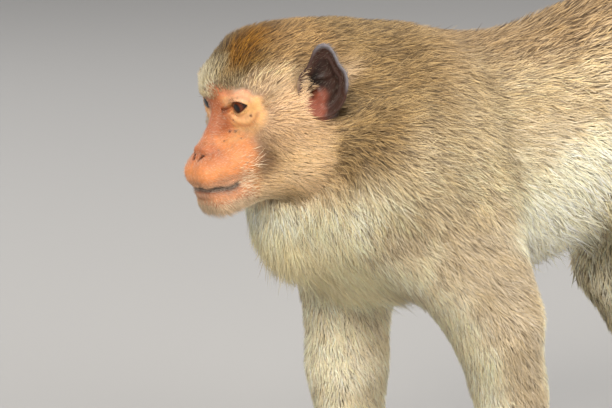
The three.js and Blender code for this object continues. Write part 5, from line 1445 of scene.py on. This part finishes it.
name_of = np.array(GROUP_NAMES)[group]
side_of = np.where(P[:, 0] > 0, "left", "right")
part = np.full(n_tufts, "coat_back", dtype=object)
y = P[:, 1]
st = stations(y)
height = (P[:, 2] - (st[:, 0] + st[:, 1]) / 2) / ((st[:, 0] - st[:, 1]) / 2)
part[(height < 0.30)] = "coat_belly"
part[(y < 96)] = "coat_shoulders"
part[(y < 96) & (height < 0.05)] = "coat_chest"
part[np.isin(name_of, ["neck"])] = "coat_neck"
part[np.isin(name_of, ["head", "muzzle"])] = "coat_head"
for s in ("left", "right"):
    part[np.isin(name_of, [f"{s}_arm", f"{s}_hand", f"{s}_fingers"])] = f"coat_{s}_arm"
    part[(part == f"coat_{s}_arm") & (P[:, 2] < 122)] = f"coat_{s}_forearm"
    part[np.isin(name_of, [f"{s}_leg", f"{s}_foot", f"{s}_toes"])] = f"coat_{s}_leg"
part[name_of == "tail"] = "coat_tail"
for name in sorted(set(part)):
    m = part == name
    keep_tufts(name, tufts[m], cols[m], P[m], N[m])

# short hairs of the face: down on the muzzle, bristles on the lips, whiskers at the mouth's corners, lashes
face_tri = (head_space(TRI_C)[:, 0] > 20) & (bare > 0.05) & (TRI_C[:, 1] < -40) & (TRI_C[:, 2] > 200)


def fine_hairs(weight_fn, count, length_fn, dir_fn, lift, width, colour_fn, dark_part=0.0):
    count = count
    w = weight_fn(TRI_C[face_tri], TRI_N[face_tri])
    P, N = scatter(np.clip(w, 0, None), count, face_tri)
    T = dir_fn(P, N)
    T = normed(T - N * row((T * N).sum(1)))
    sw = rad(12) * RNG.standard_normal(count)
    T = T * row(np.cos(sw)) + np.cross(N, T) * row(np.sin(sw))
    L = length_fn(P) * (0.75 + 0.5 * RNG.random(count))
    lf = rad(lift) * (0.7 + 0.6 * RNG.random(count))
    root, mid, tip, _ = spears(P, N, T, L, lf, lf * 0.45, width, rad(10) * RNG.standard_normal(count))
    root = P - N * 0.35
    w = np.full(count, width) * (0.8 + 0.4 * RNG.random(count))
    c = colour_fn(P, N)
    c = np.clip(c * row(1 + 0.15 * RNG.standard_normal(count)), 0.01, 0.97)
    c = np.where(row(RNG.random(count) < dark_part), c * 0.3, c)
    keep_tufts("coat_face", tuft_mesh(root, mid, tip, N, w, rad(20) * RNG.standard_normal(count)),
               np.stack([c * 0.7, c, c, c, np.clip(c * 1.05, 0, 1)], 1), P, N)


HS = head_space
away = lambda P, f, l, u: np.tile(HDIR(f, 0, u), (len(P), 1)) + np.outer(np.sign(HS(P)[:, 1]) * l, HL)
const = lambda c: (lambda P, N: np.tile(C[c] if c in C else lin(c), (len(P), 1)))


def lid_free(P):  # 0 on the lids and eyeball
    q = HS(P)
    q[:, 1] = np.abs(q[:, 1])
    return smooth((np.linalg.norm(q - V(*EYE), axis=1) - 12.5) / 3)


def around_mouth(P, lo, hi, f0=56):
    q = HS(P)
    h = q[:, 2] - mouth_height(q[:, 0], q[:, 1])
    return smooth((h - lo) / 0.6) * smooth((hi - h) / 0.6) * smooth((q[:, 0] - f0) / 4)


fine_hairs(lambda P, N: bare_face(P) * lid_free(P) * (0.25 + smooth((40 - HS(P)[:, 0]) / 10) + smooth((-30 - HS(P)[:, 2]) / 8)), 9000,
           lambda P: 2.6 + 1.2 * noise(P, 6, 61), lambda P, N: away(P, -1, 0.15, -0.45), 17, 0.22,
           lambda P, N: skin_colour(P, N) * 0.72 + C["pale_hair"] * 0.28)
fine_hairs(lambda P, N: around_mouth(P, -1.8, 1.6, 59), 900, lambda P: np.full(len(P), 2.3), lambda P, N: away(P, -0.1, 0, -1), 38, 0.2,
           const((0.58, 0.50, 0.44)), 0.45)
fine_hairs(lambda P, N: smooth((63 - HS(P)[:, 0]) / 4) * smooth((HS(P)[:, 0] - 44) / 6) * bump01(HS(P)[:, 2], -39.5, 9) * (np.abs(HS(P)[:, 1]) > 12), 300,
           lambda P: 4.5 + 4.5 * smooth((60 - HS(P)[:, 0]) / 14), lambda P, N: away(P, -1, 0.25, 0.15), 36, 0.30,
           const((0.86, 0.77, 0.64)))
fine_hairs(lambda P, N: around_mouth(P, -16, -6.5, 50) * (0.35 + smooth((-48 - HS(P)[:, 2]) / 4)), 1300, lambda P: 3.2 + 3.5 * smooth((-48 - HS(P)[:, 2]) / 7),
           lambda P, N: away(P, -0.65, 0.1, -0.8), 34, 0.28, const((0.82, 0.71, 0.58)))


def lash_zone(P, top):
    q = HS(P)
    q[:, 1] = np.abs(q[:, 1])
    w = (q - V(*EYE)) / EYE_R
    r = np.linalg.norm(w, axis=1) * EYE_R
    along = np.arctan2(w[:, 1] - 0.10, np.maximum(w[:, 0], 0.05))
    high = np.arctan2(w[:, 2] + 0.02 - 0.16 * along, np.maximum(w[:, 0], 0.05))
    ax = np.clip(along / EYE_LONG, -1, 1)
    rim = (EYE_TOP * (1 - np.abs(ax) ** 2.4) ** 0.8) if top else (-EYE_LOW * (1 - np.abs(ax) ** 2.0) ** 0.8)
    return bump01(high - rim, 0.07 if top else -0.07, 0.05) * (np.abs(along) < EYE_LONG - 0.06) * (r < 12.5) * (w[:, 0] > 0.2)


fine_hairs(lambda P, N: lash_zone(P, True), 60, lambda P: np.full(len(P), 3.2), lambda P, N: away(P, 0.3, 0.5, 0.8), 40, 0.13, const((0.35, 0.24, 0.16)), 0.5)
fine_hairs(lambda P, N: lash_zone(P, False), 30, lambda P: np.full(len(P), 1.8), lambda P, N: away(P, 0.2, 0.4, -1), 45, 0.13, const((0.55, 0.42, 0.30)), 0.3)
# sparse hairs on the ear flaps
ear_tri = (ears_w > 0.5)
cnt = 1900
P, N = scatter(np.ones(int(ear_tri.sum())), cnt, ear_tri)
s = np.where(HS(P)[:, 1] > 0, 1.0, -1.0)
T = normed(np.stack([0.15 * s, np.full(cnt, 0.75), np.full(cnt, 0.6)], 1) - N * row(0.15 * s * N[:, 0] + 0.75 * N[:, 1] + 0.6 * N[:, 2]))
L = 2.4 + 1.8 * RNG.random(cnt)
lf = rad(16) + rad(14) * RNG.random(cnt)
root, mid, tip, _ = spears(P, N, T, L, lf, lf * 0.5, 0.2, rad(10) * RNG.standard_normal(cnt))
c = blend(skin_colour(P, N), C["pale_hair"], 0.03 + 0.15 * RNG.random(cnt))
keep_tufts("coat_face", tuft_mesh(P - N * 0.3, mid, tip, N, np.full(cnt, 0.2), rad(20) * RNG.standard_normal(cnt)), np.stack([c * 0.7, c, c, c, c], 1), P, N)

# ------------------------------------------------------------------ coat pieces, each with an OFBake unwrap


def along_line(P, line):
    """Arc length and angle about a poly-line, for an unwrap of tube-like skin."""
    line = np.asarray(line, float)
    best, t_out, ang = np.full(len(P), 1e9), np.zeros(len(P)), np.zeros(len(P))
    start = 0.0
    for a, b in zip(line[:-1], line[1:]):
        ab = b - a
        ln = np.linalg.norm(ab)
        z = ab / ln
        x = unit(np.cross(z, V(1, 0, 0)) if abs(z[0]) < 0.8 else np.cross(z, V(0, 0, 1)))
        y = np.cross(z, x)
        raw = (P - a) @ z
        t = np.clip(raw, 0, ln)
        q = P - a - t[:, None] * z
        d = np.linalg.norm(q, axis=1)
        m = d < best
        best[m], t_out[m] = d[m], (start + raw)[m]
        ang[m] = np.arctan2(q[m] @ y, q[m] @ x)
        start += ln
    return t_out, ang


LINES = {
    "coat_head": [H(-60, 0, -4), H(80, 0, -10)], "coat_face": [H(-20, 0, -10), H(90, 0, -10)],
    "coat_neck": [V(0, 40, 262), H(-10, 0, -10)], "coat_shoulders": [V(0, -60, 265), V(0, 130, 265)], "coat_chest": [V(0, -70, 262), V(0, 130, 262)],
    "coat_back": [V(0, 60, 262), V(0, 350, 296)], "coat_belly": [V(0, 60, 262), V(0, 350, 296)],
    "coat_left_arm": [SL + V(0, 0, 30), EL, WL, ahead(WL, -4, 90, 8)], "coat_right_arm": [SR + V(0, 0, 30), ER, WR, ahead(WR, 4, 90, 8)],
    "coat_left_forearm": [SL + V(0, 0, 30), EL, WL, ahead(WL, -4, 90, 8)], "coat_right_forearm": [SR + V(0, 0, 30), ER, WR, ahead(WR, 4, 90, 8)],
    "coat_left_leg": [PL + V(0, 0, 30), KL, AL, ahead(AL, 5, 110, 8)], "coat_right_leg": [PR + V(0, 0, 30), KR, AR, ahead(AR, -6, 110, 8)],
    "coat_tail": TAIL[::5],
}


def coat_material(name):
    m, nt, bsdf = new_material(name)
    shade = grey_ramp(nt, object_noise(nt, 950, 3, 0.6), 0.88, 1.12)
    nt.links.new(multiply_colour(nt, attribute(nt, "tint").outputs["Color"], shade), bsdf.inputs["Base Color"])
    nt.links.new(grey_ramp(nt, object_noise(nt, 600, 2), 0.50, 0.68), bsdf.inputs["Roughness"])
    b = nt.nodes.new("ShaderNodeBump")
    b.inputs["Strength"].default_value, b.inputs["Distance"].default_value = 0.35, 0.0002
    nt.links.new(object_noise(nt, 3200, 2), b.inputs["Height"])
    nt.links.new(b.outputs["Normal"], bsdf.inputs["Normal"])
    bsdf.inputs["Specular IOR Level"].default_value = 0.3
    return m


PATCH = np.array([(0, -0.0014), (-0.0012, 0), (0, 0.0003), (0.0012, 0), (0, 0.0015)])
coat = []
total = 0
for name, parts in sorted(PIECES.items()):
    verts = np.concatenate([p[0] for p in parts])
    cols = np.concatenate([p[1] for p in parts])
    roots = np.concatenate([p[2] for p in parts])
    outward = np.concatenate([p[3] for p in parts])
    n = len(verts)
    faces = (np.arange(n)[:, None, None] * 5 + FACES).reshape(-1, 3)
    o = make_mesh(name, verts.reshape(-1, 3), faces)
    set_colour(o, "tint", cols.reshape(-1, 3))
    tri = verts[:, FACES]
    fn = np.cross(tri[:, :, 1] - tri[:, :, 0], tri[:, :, 2] - tri[:, :, 0])
    vn = np.zeros((n, 5, 3))
    for k, face in enumerate(FACES):
        for c in face:
            vn[:, c] += fn[:, k]
    vn /= np.maximum(np.linalg.norm(vn, axis=2), 1e-12)[..., None]
    vn = vn * 0.45 + outward[:, None, :] * 0.55
    vn /= np.maximum(np.linalg.norm(vn, axis=2), 1e-12)[..., None]
    at = o.data.attributes.new("custom_normal", "FLOAT_VECTOR", "POINT")
    at.data.foreach_set("vector", vn.astype(np.float32).ravel())
    t, ang = along_line(roots, LINES[name])
    t0, t1 = t.min(), t.max()
    uv = np.stack([0.5 + 0.49 * ang / math.pi, 0.01 + 0.98 * (t - t0) / (t1 - t0)], 1)
    corner = np.clip(uv[:, None, :] + PATCH, 0, 1)
    layer = o.data.uv_layers.new(name="OFBake")
    layer.data.foreach_set("uv", corner[:, FACES].reshape(-1).astype(np.float32))
    o.data.materials.append(coat_material(name + "_hair"))
    coat.append(o)
    total += len(faces)
    said(f"{name}: {n} tufts, {len(faces)} triangles")
said(f"coat of {total} triangles")

# ------------------------------------------------------------------ hand over to the frame
flesh = [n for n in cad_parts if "eye" not in n]
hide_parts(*flesh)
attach(skin_obj, "root")
for tag, o in eyes:
    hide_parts(f"{tag}_eye")
    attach(o, "root")
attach(nails, "root")
for o in coat:
    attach(o, "root")
bpy.context.view_layer.update()
bpy.context.view_layer.update()
said("finished")
